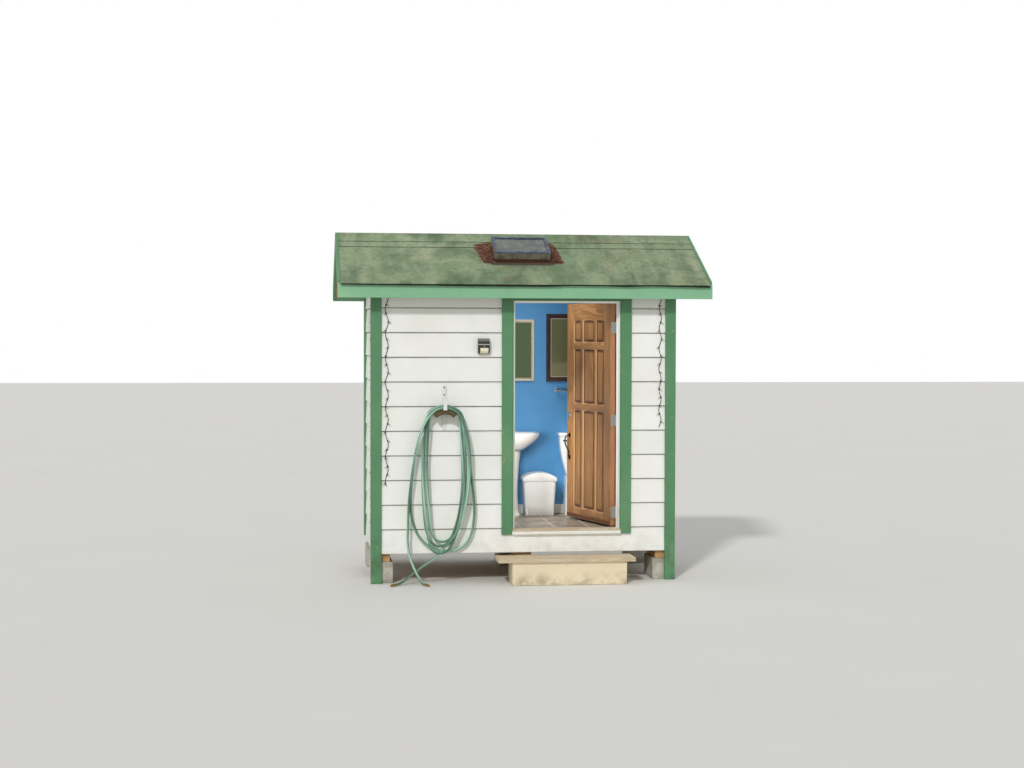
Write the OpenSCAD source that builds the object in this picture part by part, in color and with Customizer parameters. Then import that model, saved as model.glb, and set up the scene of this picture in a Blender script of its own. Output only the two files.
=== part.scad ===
// Wooden outhouse: a small gabled hut on blocks with a washroom inside.
// Front wall faces -Y, +X is to the right, Z = 0 is the lowest ground it stands on.

/* [Walls] */
// Length of the front and back walls over their sheathing
wall_w = 2680; // [2500:10:3000]
// Depth of the hut over its sheathing
wall_d = 1500; // [1450:10:1800]
// Thickness of a wall with its inner lining
wall_t = 100; // [85:1:120]
// Height of the floor above the ground
floor_z = 460; // [440:5:560]
// Height of the front wall above the doorway's head
head_room = 185; // [150:5:300]

/* [Floor and footings] */
// Height of a concrete footing block
block_h = 190; // [150:5:200]
// Width of a footing block along the front wall
block_w = 190; // [150:5:240]
// Length of a footing block from front to back
block_d = 390; // [250:5:420]
// Depth of the floor joists
joist_h = 140; // [120:1:150]
// Width of a joist or a rafter
joist_w = 38; // [30:1:45]
// Thickness of the floor deck
deck_floor_t = 18; // [12:1:25]
// Thickness of the tiled floor
tile_t = 10; // [6:1:14]
// Height of the baseboards
base_h = 90; // [60:5:140]
// Thickness of the baseboards
base_t = 12; // [8:1:18]

/* [Siding and corner boards] */
// Height of the siding's lower edge above the ground
siding_z = 260; // [230:5:280]
// Height of one siding course
course_h = 219; // [150:1:260]
// Thickness of the siding at a board's lower edge
butt_t = 20; // [14:1:24]
// Thickness of the siding just under the next board
lap_t = 9; // [5:1:12]
// Width of the corner boards
corner_w = 95; // [70:1:120]
// Thickness of the corner boards
corner_t = 35; // [28:1:45]

/* [Roof] */
// Pitch of the roof in degrees
roof_pitch = 26.5; // [20:0.5:32]
// Overhang of the roof beyond the front and back walls
eave_reach = 200; // [150:5:280]
// Overhang of the roof beyond the side walls
rake_reach = 330; // [200:5:400]
// Depth of the rafters
rafter_d = 89; // [80:1:120]
// Width of the rafter seats on the wall plates
seat_w = 80; // [60:1:84]
// Thickness of the roof deck
deck_t = 12; // [9:1:20]
// Thickness of the roll roofing
roofing_t = 5; // [3:0.5:8]
// Length of the roofing's drip edge beyond the fascia
drip = 26; // [10:1:40]
// Distance from the ridge to the lap of the roofing, along the slope
lap_s = 310; // [220:5:400]
// Width of the ridge cap on each slope
cap_w = 190; // [120:5:200]
// Height of the fascia boards
fascia_h = 120; // [90:1:150]
// Thickness of the fascia boards
fascia_t = 19; // [15:1:25]
// Thickness of the barge boards
barge_t = 25; // [15:1:35]

/* [Skylight] */
// Width of the skylight
sky_w = 490; // [380:5:520]
// Length of the skylight along the slope
sky_l = 330; // [260:5:360]
// Distance from the ridge to the skylight's upper side, along the slope
sky_s = 312; // [240:2:360]
// Height of the curb above the roof deck
sky_curb_h = 95; // [60:5:140]
// Thickness of the curb boards
sky_curb_t = 35; // [25:1:45]
// Height of the metal frame round the glass
sky_frame_h = 70; // [50:1:90]

/* [Door] */
// Middle of the doorway along the front wall
door_x = 381; // [300:1:420]
// Clear width of the doorway between its jambs
door_w = 948; // [800:1:970]
// Height of the doorway's head above the floor
door_h = 2050; // [1950:5:2090]
// Angle that the door stands open at rest
door_open = 74; // [40:1:76]
// Thickness of the door leaf
leaf_t = 44; // [35:1:50]
// Running gap round the door leaf
door_gap = 5; // [5:0.5:8]
// Thickness of the jambs, whose edges show beside the casings
jamb_t = 18; // [16:1:40]
// Width of the door casings
casing_w = 95; // [70:1:110]
// Thickness of the door casings
casing_t = 35; // [28:1:40]

/* [Step] */
// Length of the step tread
tread_w = 1227; // [1000:1:1400]
// Depth of the step tread from front to back
tread_d = 286; // [240:1:320]
// Thickness of the step tread
tread_t = 38; // [30:1:50]
// Height of the tread above the ground
tread_z = 240; // [200:5:250]
// Length of the block under the tread
step_base_w = 1026; // [800:1:1100]

/* [Washroom] */
// Middle of the washbasin along the back wall
sink_x = 25; // [-100:5:30]
// Height of the washbasin's rim above the floor
sink_h = 810; // [780:5:860]
// Width of the washbasin
sink_w = 560; // [480:5:580]
// Depth of the washbasin from the back wall
sink_d = 430; // [360:5:440]
// Width of the mirror
mirror_w = 510; // [400:10:560]
// Height of the mirror
mirror_h = 600; // [500:10:640]
// Height of the mirror's middle above the floor
mirror_z = 1600; // [1500:10:1640]
// Middle of the toilet along the back wall
toilet_x = 760; // [755:5:900]
// Distance of the toilet bowl's tip from the back wall
toilet_l = 570; // [540:5:580]
// Width of the toilet bowl
bowl_w = 320; // [280:5:320]
// Height of the toilet bowl's rim above the floor
toilet_h = 400; // [360:5:430]
// Width of the toilet tank at its top
tank_w = 500; // [420:5:520]
// Height of the toilet tank without its lid
tank_h = 390; // [300:5:410]
// Middle of the waste bin along the back wall
bin_x = 308; // [302:2:340]
// Width of the waste bin at its top
bin_w = 330; // [260:5:340]
// Depth of the waste bin at its top
bin_d = 250; // [200:5:260]
// Height of the waste bin without its lid
bin_h = 350; // [280:5:380]
// Middle of the picture and the towel rail along the back wall
picture_x = 745; // [740:5:800]
// Width of the picture with its frame
picture_w = 690; // [400:10:700]
// Height of the picture with its frame
picture_h = 660; // [400:10:700]
// Height of the picture's middle above the floor
picture_z = 1625; // [1550:5:1660]
// Distance between the towel rail's posts
towel_w = 480; // [300:10:600]
// Height of the towel rail above the floor
towel_z = 1210; // [1150:5:1230]

/* [Lamp and hose] */
// Height of the wall lamp's underside above the floor
lamp_h = 1581; // [1500:1:1640]
// Diameter of the hose
hose_d = 23; // [18:1:24]
// Middle of the hose hook along the front wall
hook_x = -722; // [-800:1:-700]
// Radius of the wooden saddle that the hose hangs over
saddle_r = 150; // [140:1:155]
// Depth of the saddle from back to front
saddle_d = 112; // [108:1:120]

/* [Hidden] */
$fn = 32;
// Joint between two boards of one sub-part
joint_gap = 0.3;

// Outer faces, seen from the hut's middle
half_w = wall_w / 2;
half_d = wall_d / 2;
out_w = half_w + corner_t;
out_d = half_d + corner_t;
roof_hw = half_w + rake_reach;
tread_reach = butt_t + tread_d;
eave_out = eave_reach + drip;
// The origin lies midway between the step's front and the roof's back edge
hut_y = (tread_reach - eave_out) / 2;
front_y = -half_d;
inner_y = -half_d + wall_t;
inner_w = half_w - wall_t;
inner_d = half_d - wall_t;

// Distance of the footing blocks behind the front sheathing and beyond the walls' ends
block_back = 5;
block_out = 26;

// The step stands a little to the left of the doorway's middle
tread_l = door_x - 33 - tread_w / 2;
step_base_in = 127;
step_nose = 26;

// Heights of the floor and the walls
deck_z = floor_z - tile_t;
frame_z = deck_z - deck_floor_t - joist_h;
head_z = floor_z + door_h;
plate_z = head_z + head_room;

// Roof lines: the deck's underside above a distance from the middle plane
roof_tan = tan(roof_pitch);
roof_cos = cos(roof_pitch);
rafter_v = rafter_d / roof_cos;
function roof_z(y) = plate_z + rafter_v + (half_d - seat_w - abs(y)) * roof_tan;
ridge_half = 12.5;
ridge_h = 140;
rafter_x = [-915, -305, 305, 915];
fly_x = roof_hw - barge_t - joist_w / 2;
deck_v = deck_t / roof_cos;
roofing_v = roofing_t / roof_cos;
// Play between the roof deck and the timbers under it
deck_seat = 0.1;
// Second layers of the roofing and the cap are thinner than the first
layer_v = 3 / roof_cos;
lap_y = lap_s * roof_cos;
cap_y = cap_w * roof_cos;
drip_h = 22;

// Doorway
door_l = door_x - door_w / 2;
door_r = door_x + door_w / 2;
casing_l = door_l - jamb_t - casing_w;
casing_r = door_r + jamb_t + casing_w;
sill_t = 26;
sill_z = deck_z - sill_t;
threshold_t = 20;
threshold_z = deck_z + threshold_t;
stop_t = 12;
stop_w = 30;
casing_head_h = casing_w;

// Door leaf, drawn closed and turned open about the hinge axis
leaf_w = door_w - 2 * door_gap;
leaf_z = threshold_z + 10;
leaf_h = head_z - door_gap - leaf_z;
leaf_r = door_r - door_gap;
hinge_r = 6;
pin_r = 3;
hinge_x = door_r - door_gap / 2;
hinge_y = inner_y + hinge_r;
hinge_h = 102;
hinge_zs = [600, 1436, 2280];
hinge_leaf_t = 2;
hinge_leaf_w = 33;
strap_in = 1.5;
knuckle_n = 5;

// Raised panels of the leaf: widths from the free edge and heights from the top
stile_w = 160;
mullion_w = 53;
side_panel_w = 145;
top_rail_h = 165;
mid_rail_h = 80;
row_hs = [190, 495, 907];
recess = 9;
bevel = 14;
field_gap = 10;
field_slope = 30;
panel_xs = [
    [stile_w, side_panel_w],
    [stile_w + side_panel_w + mullion_w, leaf_w - 2 * (stile_w + side_panel_w + mullion_w)],
    [leaf_w - stile_w - side_panel_w, side_panel_w]
];
sweep_h = 40;
sweep_t = 9;
sweep_in = stop_t + 3;
handle_s = 62;
handle_z = 1150;
bolt_z = 1450;
grip_points = [
    [0, -5, 118], [0, -30, 112], [0, -46, 92], [0, -50, 50],
    [0, -50, -40], [0, -44, -84], [0, -26, -104], [0, -5, -110]
];
knob_profile = [
    [0, 0], [30, 0], [30, 5], [14, 9], [11, 18], [12, 28],
    [24, 38], [27, 48], [24, 58], [12, 64], [0, 65]
];

// Skylight, drawn flat on the slope's deck and tilted into place
sky_frame_t = 28;
sky_frame_over = 8;
glass_t = 12;
curb_clear = 0.5;

// Hose hook: a strap on the siding whose arm runs under the saddle and turns up before it
strap_w = 34;
strap_t = 6;
hook_z = 1765;
saddle_z = 1400;
saddle_in = 90;
saddle_half = 105;
siding_y = front_y - butt_t;
saddle_y = siding_y - strap_t - joint_gap;
prong_y = saddle_y - saddle_d - joint_gap;
prong_top = 1640;

// Hose: the hank's outline and hand-picked points on the wall and on the ground
hank_t = 103;
hank_y = saddle_y - saddle_d / 2;
hank_top_r = 195;
hank_low_x = hook_x - 25;
hank_low_z = 555;
hank_low_r = 300;
hank_in_x = hook_x - 10;
hank_in_r = 150;
tail_a = [
    [-1015, hank_y, 640], [-1049, hank_y - 8, 500], [-1053, hank_y - 16, 380], [-1036, hank_y - 28, 255],
    [-992, hank_y - 44, 130], [-950, hank_y - 66, 52], [-918, hank_y - 104, 17], [-894, hank_y - 150, 12]
];
tail_b = [
    [-735, hank_y, 315], [-790, hank_y - 2, 250], [-873, hank_y - 4, 190], [-960, hank_y - 8, 128],
    [-1035, hank_y - 20, 72], [-1095, hank_y - 48, 28], [-1145, hank_y - 84, 13], [-1180, hank_y - 124, 12]
];

// Wall lamp: its place and the outline of its side
lamp_x = casing_l - 166;
lamp_z = floor_z + lamp_h;
lamp_profile = [[0, 0], [-22, 0], [-48, 24], [-52, 100], [-30, 138], [-6, 138], [0, 130]];

// Light strings on the corners and the left wall
string_d = 5;
string_out = butt_t + string_d / 2 + 0.3;
string_top = plate_z - 95;
string_step = 75;
string_in = 107;

// Washbasin's bowl and the middle of its pedestal
basin_drop = 170;
basin_mid = 190;

// The toilet tank stands this far below the bowl's rim
tank_drop = 20;

// Picture and mirror frames
rim_w = 30;
rim_t = 22;
rim_deep = 10;

// Moves a node from the hut's middle plane to its place
module place() {
    translate([0, hut_y, 0]) children();
}

// A plate from one corner to the opposite one
module box(a, b) {
    translate(a) cube(b - a);
}

// A drawing in Y and Z, run along X
module run_x(x0, x1) {
    translate([x0, 0, 0]) rotate([90, 0, 90]) linear_extrude(x1 - x0) children();
}

// A drawing in X and Z, run along Y
module run_y(y0, y1) {
    translate([0, y1, 0]) rotate([90, 0, 0]) linear_extrude(y1 - y0) children();
}

// The gable outline below the roof deck, from a level up
module gable(z0, reach, drop = 0) {
    polygon([
        [-reach, z0], [reach, z0], [reach, roof_z(reach) - drop],
        [0, roof_z(0) - drop], [-reach, roof_z(reach) - drop]
    ]);
}

// Footings, set back a little behind the sheathing
module footing_row() {
    end_x = half_w - block_w / 2 + block_out;
    for (x = [-end_x, 0, end_x])
        for (side = [-1, 1])
            translate([x, side * (half_d - block_back - block_d / 2), 0]) children();
}

module footing_blocks() {
    color("lightgray") place() footing_row() block_shape();
}

module block_shape() {
    chamfer = 8;
    hull() {
        translate([-block_w / 2, -block_d / 2, 0]) cube([block_w, block_d, block_h - chamfer]);
        translate([-block_w / 2 + chamfer, -block_d / 2 + chamfer, 0])
            cube([block_w - 2 * chamfer, block_d - 2 * chamfer, block_h]);
    }
}

module footing_packers() {
    packer_w = 2 * (block_w / 2 - block_out - 1);
    color("peru") place() footing_row()
        translate([-packer_w / 2, -block_d / 2 + 10, block_h])
            cube([packer_w, block_d - 20, frame_z - block_h]);
}

// Floor
module floor_joists() {
    joist_n = 7;
    pitch = (wall_w - joist_w) / (joist_n - 1);
    rim_in = half_d - joist_w - joint_gap;
    color("burlywood") place() {
        for (side = [-1, 1])
            translate([-half_w, side * (half_d - joist_w / 2) - joist_w / 2, frame_z])
                cube([wall_w, joist_w, joist_h]);
        for (i = [0 : joist_n - 1])
            translate([-half_w + i * pitch, -rim_in, frame_z]) cube([joist_w, 2 * rim_in, joist_h]);
    }
}

module floor_deck() {
    color("burlywood") place()
        box([-half_w, -half_d, deck_z - deck_floor_t], [half_w, half_d, deck_z]);
}

module floor_tiles() {
    color("gray") place()
        box([-inner_w, inner_y, deck_z], [inner_w, inner_d, floor_z]);
}

module baseboards() {
    in_w = inner_w - base_t - joint_gap;
    color("white") place() {
        box([-in_w, inner_d - base_t, floor_z], [in_w, inner_d, floor_z + base_h]);
        for (side = [-1, 1])
            translate([side * (inner_w - base_t / 2) - base_t / 2, inner_y, floor_z])
                cube([base_t, inner_d - inner_y, base_h]);
        box([-in_w, inner_y, floor_z], [door_l - jamb_t, inner_y + base_t, floor_z + base_h]);
        box([door_r + jamb_t, inner_y, floor_z], [in_w, inner_y + base_t, floor_z + base_h]);
    }
}

// Walls
module front_wall_left() {
    color("steelblue") place()
        box([-inner_w, front_y, deck_z], [door_l - jamb_t, inner_y, plate_z]);
}

module front_wall_right() {
    color("steelblue") place()
        box([door_r + jamb_t, front_y, deck_z], [inner_w, inner_y, plate_z]);
}

module front_wall_head() {
    color("steelblue") place()
        box([door_l - jamb_t, front_y, head_z + jamb_t], [door_r + jamb_t, inner_y, plate_z]);
}

module side_wall(side) {
    x = side * (half_w - wall_t / 2);
    place() difference() {
        run_x(x - wall_t / 2, x + wall_t / 2) gable(deck_z, half_d);
        ridge_notch();
    }
}

// Room for the ridge board in the gables
module ridge_notch() {
    translate([-roof_hw, -ridge_half, roof_z(0) - ridge_h])
        cube([2 * roof_hw, 2 * ridge_half, 2 * ridge_h]);
}

module left_wall() {
    color("steelblue") side_wall(-1);
}

module right_wall() {
    color("steelblue") side_wall(1);
}

module back_wall() {
    color("steelblue") place()
        box([-inner_w, inner_d, deck_z], [inner_w, half_d, plate_z]);
}

// Siding: a saw-toothed profile, as lapped boards show it, standing on the sheathing at 0
module lap_profile(top) {
    courses = ceil((top - siding_z) / course_h);
    intersection() {
        union() {
            for (i = [0 : courses - 1])
                translate([0, siding_z + i * course_h])
                    polygon([[0, 0], [butt_t, 0], [lap_t, course_h], [0, course_h]]);
        }
        translate([0, siding_z]) square([butt_t, top - siding_z]);
    }
}

// The siding's profile faces the front
module front_laps(x0, x1, top) {
    run_x(x0, x1) translate([front_y, 0]) mirror([1, 0]) lap_profile(top);
}

module side_laps(side) {
    y1 = half_d - corner_w + corner_t;
    mirror([side > 0 ? 0 : 1, 0, 0])
        difference() {
            intersection() {
                run_y(-y1, y1) translate([half_w, 0]) lap_profile(roof_z(0));
                run_x(half_w - 1, half_w + butt_t + 1) gable(siding_z, y1);
            }
            ridge_notch();
        }
}

// Lowest siding board of the front, cut out for the sill and the casings
module siding_front_base() {
    color("white") place()
        difference() {
            front_laps(-out_w + corner_w, out_w - corner_w, siding_z + course_h);
            box([casing_l, front_y - 2 * butt_t, sill_z],
                [casing_r, front_y + 1, siding_z + course_h + 1]);
        }
}

module siding_front() {
    top = roof_z(half_d + butt_t) - rafter_v;
    color("white") place()
        difference() {
            front_laps(-out_w + corner_w, out_w - corner_w, top);
            box([-out_w, front_y - 2 * butt_t, siding_z - 1], [out_w, front_y + 1, siding_z + course_h]);
            box([casing_l, front_y - 2 * butt_t, siding_z],
                [casing_r, front_y + 1, head_z + jamb_t + casing_head_h]);
        }
}

module siding_left() {
    color("white") place() side_laps(-1);
}

module siding_right() {
    color("white") place() side_laps(1);
}

module siding_back() {
    color("white") place() mirror([0, 1, 0])
        front_laps(-out_w + corner_w, out_w - corner_w, roof_z(half_d + butt_t) - rafter_v);
}

// Corner boards: the front pair runs down to the ground as legs
module corner_boards() {
    flat = corner_w - corner_t - joint_gap;
    color("mediumseagreen") place()
        intersection() {
            union() {
                for (side = [-1, 1]) {
                    x = side * (out_w - corner_w / 2);
                    translate([x - corner_w / 2, -out_d, 0]) cube([corner_w, corner_t, 2 * plate_z]);
                    translate([x - corner_w / 2, half_d, siding_z]) cube([corner_w, corner_t, 2 * plate_z]);
                    for (end = [-1, 1])
                        translate([side * (half_w + corner_t / 2) - corner_t / 2,
                                   end * (half_d - joint_gap - flat / 2) - flat / 2, siding_z])
                            cube([corner_t, flat, 2 * plate_z]);
                }
            }
            run_x(-out_w, out_w) gable(0, out_d, 1);
        }
}

// Doorway trim: three casings with butt joints
module door_casings() {
    casing_top = head_z + jamb_t;
    color("mediumseagreen") place() {
        for (x = [casing_l, casing_r - casing_w])
            box([x, front_y - casing_t, sill_z], [x + casing_w, front_y, casing_top - joint_gap]);
        box([casing_l, front_y - casing_t, casing_top],
            [casing_r, front_y, casing_top + casing_head_h]);
    }
}

// Jambs with the stops that the leaf closes against
module door_frame() {
    jamb_y = front_y - butt_t;
    stop_y = inner_y - leaf_t - door_gap - stop_w;
    color("white") place() {
        for (side = [-1, 1]) {
            face = door_x + side * door_w / 2;
            edge = face + side * jamb_t;
            box([min(face, edge), jamb_y, threshold_z], [max(face, edge), inner_y, head_z - joint_gap]);
            inner = face - side * stop_t;
            box([min(face, inner), stop_y, threshold_z],
                [max(face, inner), stop_y + stop_w, head_z - stop_t - joint_gap]);
        }
        box([door_l - jamb_t, jamb_y, head_z], [door_r + jamb_t, inner_y, head_z + jamb_t]);
        box([door_l, stop_y, head_z - stop_t], [door_r, stop_y + stop_w, head_z]);
    }
}

module door_threshold() {
    color("tan") place() run_x(door_l - jamb_t, door_r + jamb_t)
        polygon([
            [front_y - casing_t, deck_z], [inner_y, deck_z],
            [inner_y, threshold_z - 6], [inner_y - 6, threshold_z],
            [front_y - casing_t + 10, threshold_z], [front_y - casing_t, threshold_z - 8]
        ]);
}

module door_sill() {
    nose = 12;
    color("ivory") place() run_x(door_l - jamb_t, door_r + jamb_t)
        polygon([
            [front_y - casing_t - nose, sill_z], [front_y, sill_z], [front_y, deck_z],
            [front_y - casing_t - nose + 4, deck_z], [front_y - casing_t - nose, deck_z - 4]
        ]);
}

// Rafters with seats on the wall plates, and plain ones beside the barge boards
module rafter(seat) {
    y1 = half_d + eave_reach - fascia_t;
    z0 = roof_z(ridge_half) - deck_seat;
    z1 = roof_z(y1) - deck_seat;
    bottom = rafter_v - deck_seat;
    polygon(seat
        ? [
            [ridge_half, z0], [y1, z1], [y1, z1 - bottom],
            [half_d, roof_z(half_d) - rafter_v], [half_d, plate_z], [half_d - seat_w, plate_z],
            [ridge_half, z0 - bottom]
        ]
        : [[ridge_half, z0], [y1, z1], [y1, z1 - bottom], [ridge_half, z0 - bottom]]);
}

module rafters() {
    color("wheat") place()
        for (flip = [0, 1])
            mirror([0, flip, 0]) {
                for (x = rafter_x)
                    run_x(x - joist_w / 2, x + joist_w / 2) rafter(true);
                for (x = [-fly_x, fly_x])
                    run_x(x - joist_w / 2, x + joist_w / 2) rafter(false);
            }
}

module ridge_board() {
    color("wheat") place() run_x(-roof_hw + barge_t, roof_hw - barge_t)
        polygon([
            [-ridge_half, roof_z(0) - ridge_h], [ridge_half, roof_z(0) - ridge_h],
            [ridge_half, roof_z(ridge_half) - deck_seat], [0, roof_z(0) - deck_seat],
            [-ridge_half, roof_z(ridge_half) - deck_seat]
        ]);
}

// Boards that close the gaps over the wall plates between the rafters
module eave_blocking() {
    ends = concat([-inner_w - joist_w / 2], rafter_x, [inner_w + joist_w / 2]);
    color("white") place()
        for (flip = [0, 1], i = [0 : len(ends) - 2])
            mirror([0, flip, 0])
                run_x(ends[i] + joist_w / 2, ends[i + 1] - joist_w / 2)
                    polygon([
                        [half_d - joist_w, plate_z], [half_d, plate_z],
                        [half_d, roof_z(half_d)], [half_d - joist_w, roof_z(half_d - joist_w)]
                    ]);
}

// A layer on the slope between two distances from the middle plane
module slope_layer(y0, y1, low, high) {
    polygon([
        [y0, roof_z(y0) + low], [y1, roof_z(y1) + low], [y1, roof_z(y1) + high], [y0, roof_z(y0) + high]
    ]);
}

// The front slope's own frame: origin on the deck at the ridge, +Y down the slope
module on_front_slope(lift = 0) {
    translate([0, 0, roof_z(0) + deck_v]) mirror([0, 1, 0])
        rotate([-roof_pitch, 0, 0]) translate([0, 0, lift]) children();
}

module sky_hole(grow) {
    reach = 200;
    on_front_slope()
        translate([-sky_w / 2 - grow, sky_s - grow, -reach])
            cube([sky_w + 2 * grow, sky_l + 2 * grow, 2 * reach]);
}

module roof_deck_front() {
    color("wheat") place()
        difference() {
            mirror([0, 1, 0]) run_x(-roof_hw + barge_t, roof_hw - barge_t)
                slope_layer(0, half_d + eave_reach, 0, deck_v);
            sky_hole(-sky_curb_t);
        }
}

module roof_deck_back() {
    color("wheat") place() run_x(-roof_hw + barge_t, roof_hw - barge_t)
        slope_layer(0, half_d + eave_reach, 0, deck_v);
}

// Roll roofing: a lower strip, an upper strip lapped over it, and a lip over the fascia
module roofing_profile() {
    y1 = half_d + eave_reach;
    y2 = y1 + drip;
    edge_z = roof_z(y2) + deck_v + roofing_v;
    union() {
        slope_layer(0, y2, deck_v, deck_v + roofing_v);
        slope_layer(0, lap_y, deck_v + roofing_v - 1, deck_v + roofing_v + layer_v);
        polygon([
            [y2 - roofing_t, edge_z], [y2, edge_z],
            [y2, edge_z - drip_h], [y2 - roofing_t, edge_z - drip_h]
        ]);
    }
}

module roofing_front() {
    color("darkseagreen") place()
        difference() {
            mirror([0, 1, 0]) run_x(-roof_hw + barge_t, roof_hw - barge_t) roofing_profile();
            sky_hole(curb_clear);
        }
}

module roofing_back() {
    color("darkseagreen") place() run_x(-roof_hw + barge_t, roof_hw - barge_t) roofing_profile();
}

module ridge_cap() {
    low = deck_v + roofing_v + layer_v;
    color("darkseagreen") place() run_x(-roof_hw + barge_t, roof_hw - barge_t)
        polygon([
            [-cap_y, roof_z(cap_y) + low], [0, roof_z(0) + low], [cap_y, roof_z(cap_y) + low],
            [cap_y, roof_z(cap_y) + low + layer_v], [0, roof_z(0) + low + layer_v],
            [-cap_y, roof_z(cap_y) + low + layer_v]
        ]);
}

// Fascia boards with tops bevelled to the slope
module fascias() {
    y1 = half_d + eave_reach;
    color("palegreen") place()
        for (flip = [0, 1])
            mirror([0, flip, 0]) run_x(-roof_hw, roof_hw)
                polygon([
                    [y1 - fascia_t, roof_z(y1) - fascia_h], [y1, roof_z(y1) - fascia_h],
                    [y1, roof_z(y1)], [y1 - fascia_t, roof_z(y1 - fascia_t)]
                ]);
}

// Barge boards, mitred at the ridge, with their top edges above the roofing
module barge_boards() {
    y1 = half_d + eave_reach - fascia_t;
    top = deck_v + roofing_v + 2 * layer_v;
    color("mediumseagreen") place()
        for (flip = [0, 1], side = [-1, 1]) {
            x = side * (roof_hw - barge_t / 2);
            mirror([0, flip, 0]) run_x(x - barge_t / 2, x + barge_t / 2)
                slope_layer(joint_gap / 2, y1, -fascia_h, top);
        }
}

// Skylight: four curb boards, a mitred metal frame over them and the glass
module sky_ring(w, l, t, h) {
    for (x = [0, w - t])
        translate([x, 0, 0]) cube([t, l, h]);
    for (y = [0, l - t])
        translate([t + joint_gap, y, 0]) cube([w - 2 * t - 2 * joint_gap, t, h]);
}

module skylight_curb() {
    color("saddlebrown") place() on_front_slope()
        translate([-sky_w / 2, sky_s, 0]) sky_ring(sky_w, sky_l, sky_curb_t, sky_curb_h);
}

module skylight_frame() {
    o = sky_frame_over;
    low = sky_curb_h - sky_frame_h + glass_t + 8;
    color("slategray") place() on_front_slope()
        translate([-sky_w / 2 - o, sky_s - o, 0])
            difference() {
                translate([0, 0, low]) sky_ring(sky_w + 2 * o, sky_l + 2 * o, sky_frame_t, sky_frame_h);
                translate([o - joint_gap, o - joint_gap, 0])
                    cube([sky_w + 2 * joint_gap, sky_l + 2 * joint_gap, sky_curb_h]);
                translate([o - joint_gap, o - joint_gap, sky_curb_h - 1])
                    cube([sky_w + 2 * joint_gap, sky_l + 2 * joint_gap, glass_t + joint_gap + 1]);
            }
}

module skylight_glass() {
    color("lightblue") place() on_front_slope(sky_curb_h)
        translate([-sky_w / 2, sky_s, 0]) cube([sky_w, sky_l, glass_t]);
}

// Step under the doorway
module step_tread() {
    y1 = front_y - butt_t;
    low = tread_z - tread_t;
    color("tan") place() run_x(tread_l, tread_l + tread_w)
        polygon([
            [y1 - tread_d, low + 4], [y1 - tread_d + 4, low], [y1, low],
            [y1, tread_z], [y1 - tread_d + 6, tread_z], [y1 - tread_d, tread_z - 6]
        ]);
}

module step_base() {
    y0 = front_y - butt_t - tread_d + step_nose;
    x0 = tread_l + step_base_in;
    color("cornsilk") place()
        box([x0, y0, 0], [x0 + step_base_w, front_y + block_back, tread_z - tread_t]);
}

// Door leaf: places its closed shape where it stands open
module swing() {
    translate([hinge_x, hinge_y + hut_y, 0]) rotate([0, 0, -door_open])
        translate([-hinge_x, -hinge_y, 0]) children();
}

// A block that narrows by the slope over its depth: towards -Y, or towards +Y if the depth is negative
module bevel_block(w, h, depth, slope) {
    walls = [[3, 2, 1, 0], [4, 5, 6, 7], [0, 1, 5, 4], [1, 2, 6, 5], [2, 3, 7, 6], [3, 0, 4, 7]];
    polyhedron(
        points = [
            [0, 0, 0], [w, 0, 0], [w, 0, h], [0, 0, h],
            [slope, -depth, slope], [w - slope, -depth, slope],
            [w - slope, -depth, h - slope], [slope, -depth, h - slope]
        ],
        faces = depth < 0 ? walls : [for (f = walls) [f[3], f[2], f[1], f[0]]]
    );
}

function row_z(r) = leaf_z + leaf_h - top_rail_h - row_hs[r]
    - (r > 0 ? row_hs[0] + mid_rail_h : 0) - (r > 1 ? row_hs[1] + mid_rail_h : 0);

// The sunk ground of one face's panels, cut from the front face at y = 0
module panel_cuts() {
    for (r = [0 : 2], p = panel_xs)
        translate([p[0] - bevel, -0.01, row_z(r) - bevel])
            bevel_block(p[1] + 2 * bevel, row_hs[r] + 2 * bevel, -recess, bevel);
}

module panel_fields() {
    for (r = [0 : 2], p = panel_xs)
        translate([p[0] + field_gap, recess + 0.5, row_z(r) + field_gap])
            bevel_block(p[1] - 2 * field_gap, row_hs[r] - 2 * field_gap, recess - 1.5, field_slope / 2);
}

module door_leaf() {
    y0 = inner_y - leaf_t;
    color("sienna") swing()
        translate([leaf_r - leaf_w, y0, 0]) {
            difference() {
                translate([0, 0, leaf_z]) cube([leaf_w, leaf_t, leaf_h]);
                panel_cuts();
                translate([leaf_w, leaf_t, 0]) rotate([0, 0, 180]) panel_cuts();
                for (z = hinge_zs)
                    translate([leaf_w, leaf_t, z - hinge_h / 2 - joint_gap]) {
                        translate([-hinge_leaf_t, -hinge_leaf_w - 0.5, 0])
                            cube([hinge_r, 2 * hinge_leaf_w, hinge_h + 2 * joint_gap]);
                        translate([-hinge_leaf_t - 1.2, -strap_in - 0.5, 0])
                            cube([hinge_r, hinge_r, hinge_h + 2 * joint_gap]);
                    }
            }
            panel_fields();
            translate([leaf_w, leaf_t, 0]) rotate([0, 0, 180]) panel_fields();
        }
}

// Butt hinges: odd knuckles on the jamb, even ones on the leaf
module knuckles(first) {
    k = hinge_h / knuckle_n;
    for (i = [first : 2 : knuckle_n - 1])
        translate([0, 0, i * k + (first > 0 ? 0.2 : 0)])
            difference() {
                cylinder(h = k - (first > 0 ? 0.4 : 0), r = hinge_r);
                translate([0, 0, -1]) cylinder(h = k + 2, r = pin_r + (first > 0 ? 0.2 : 0));
            }
}

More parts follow.
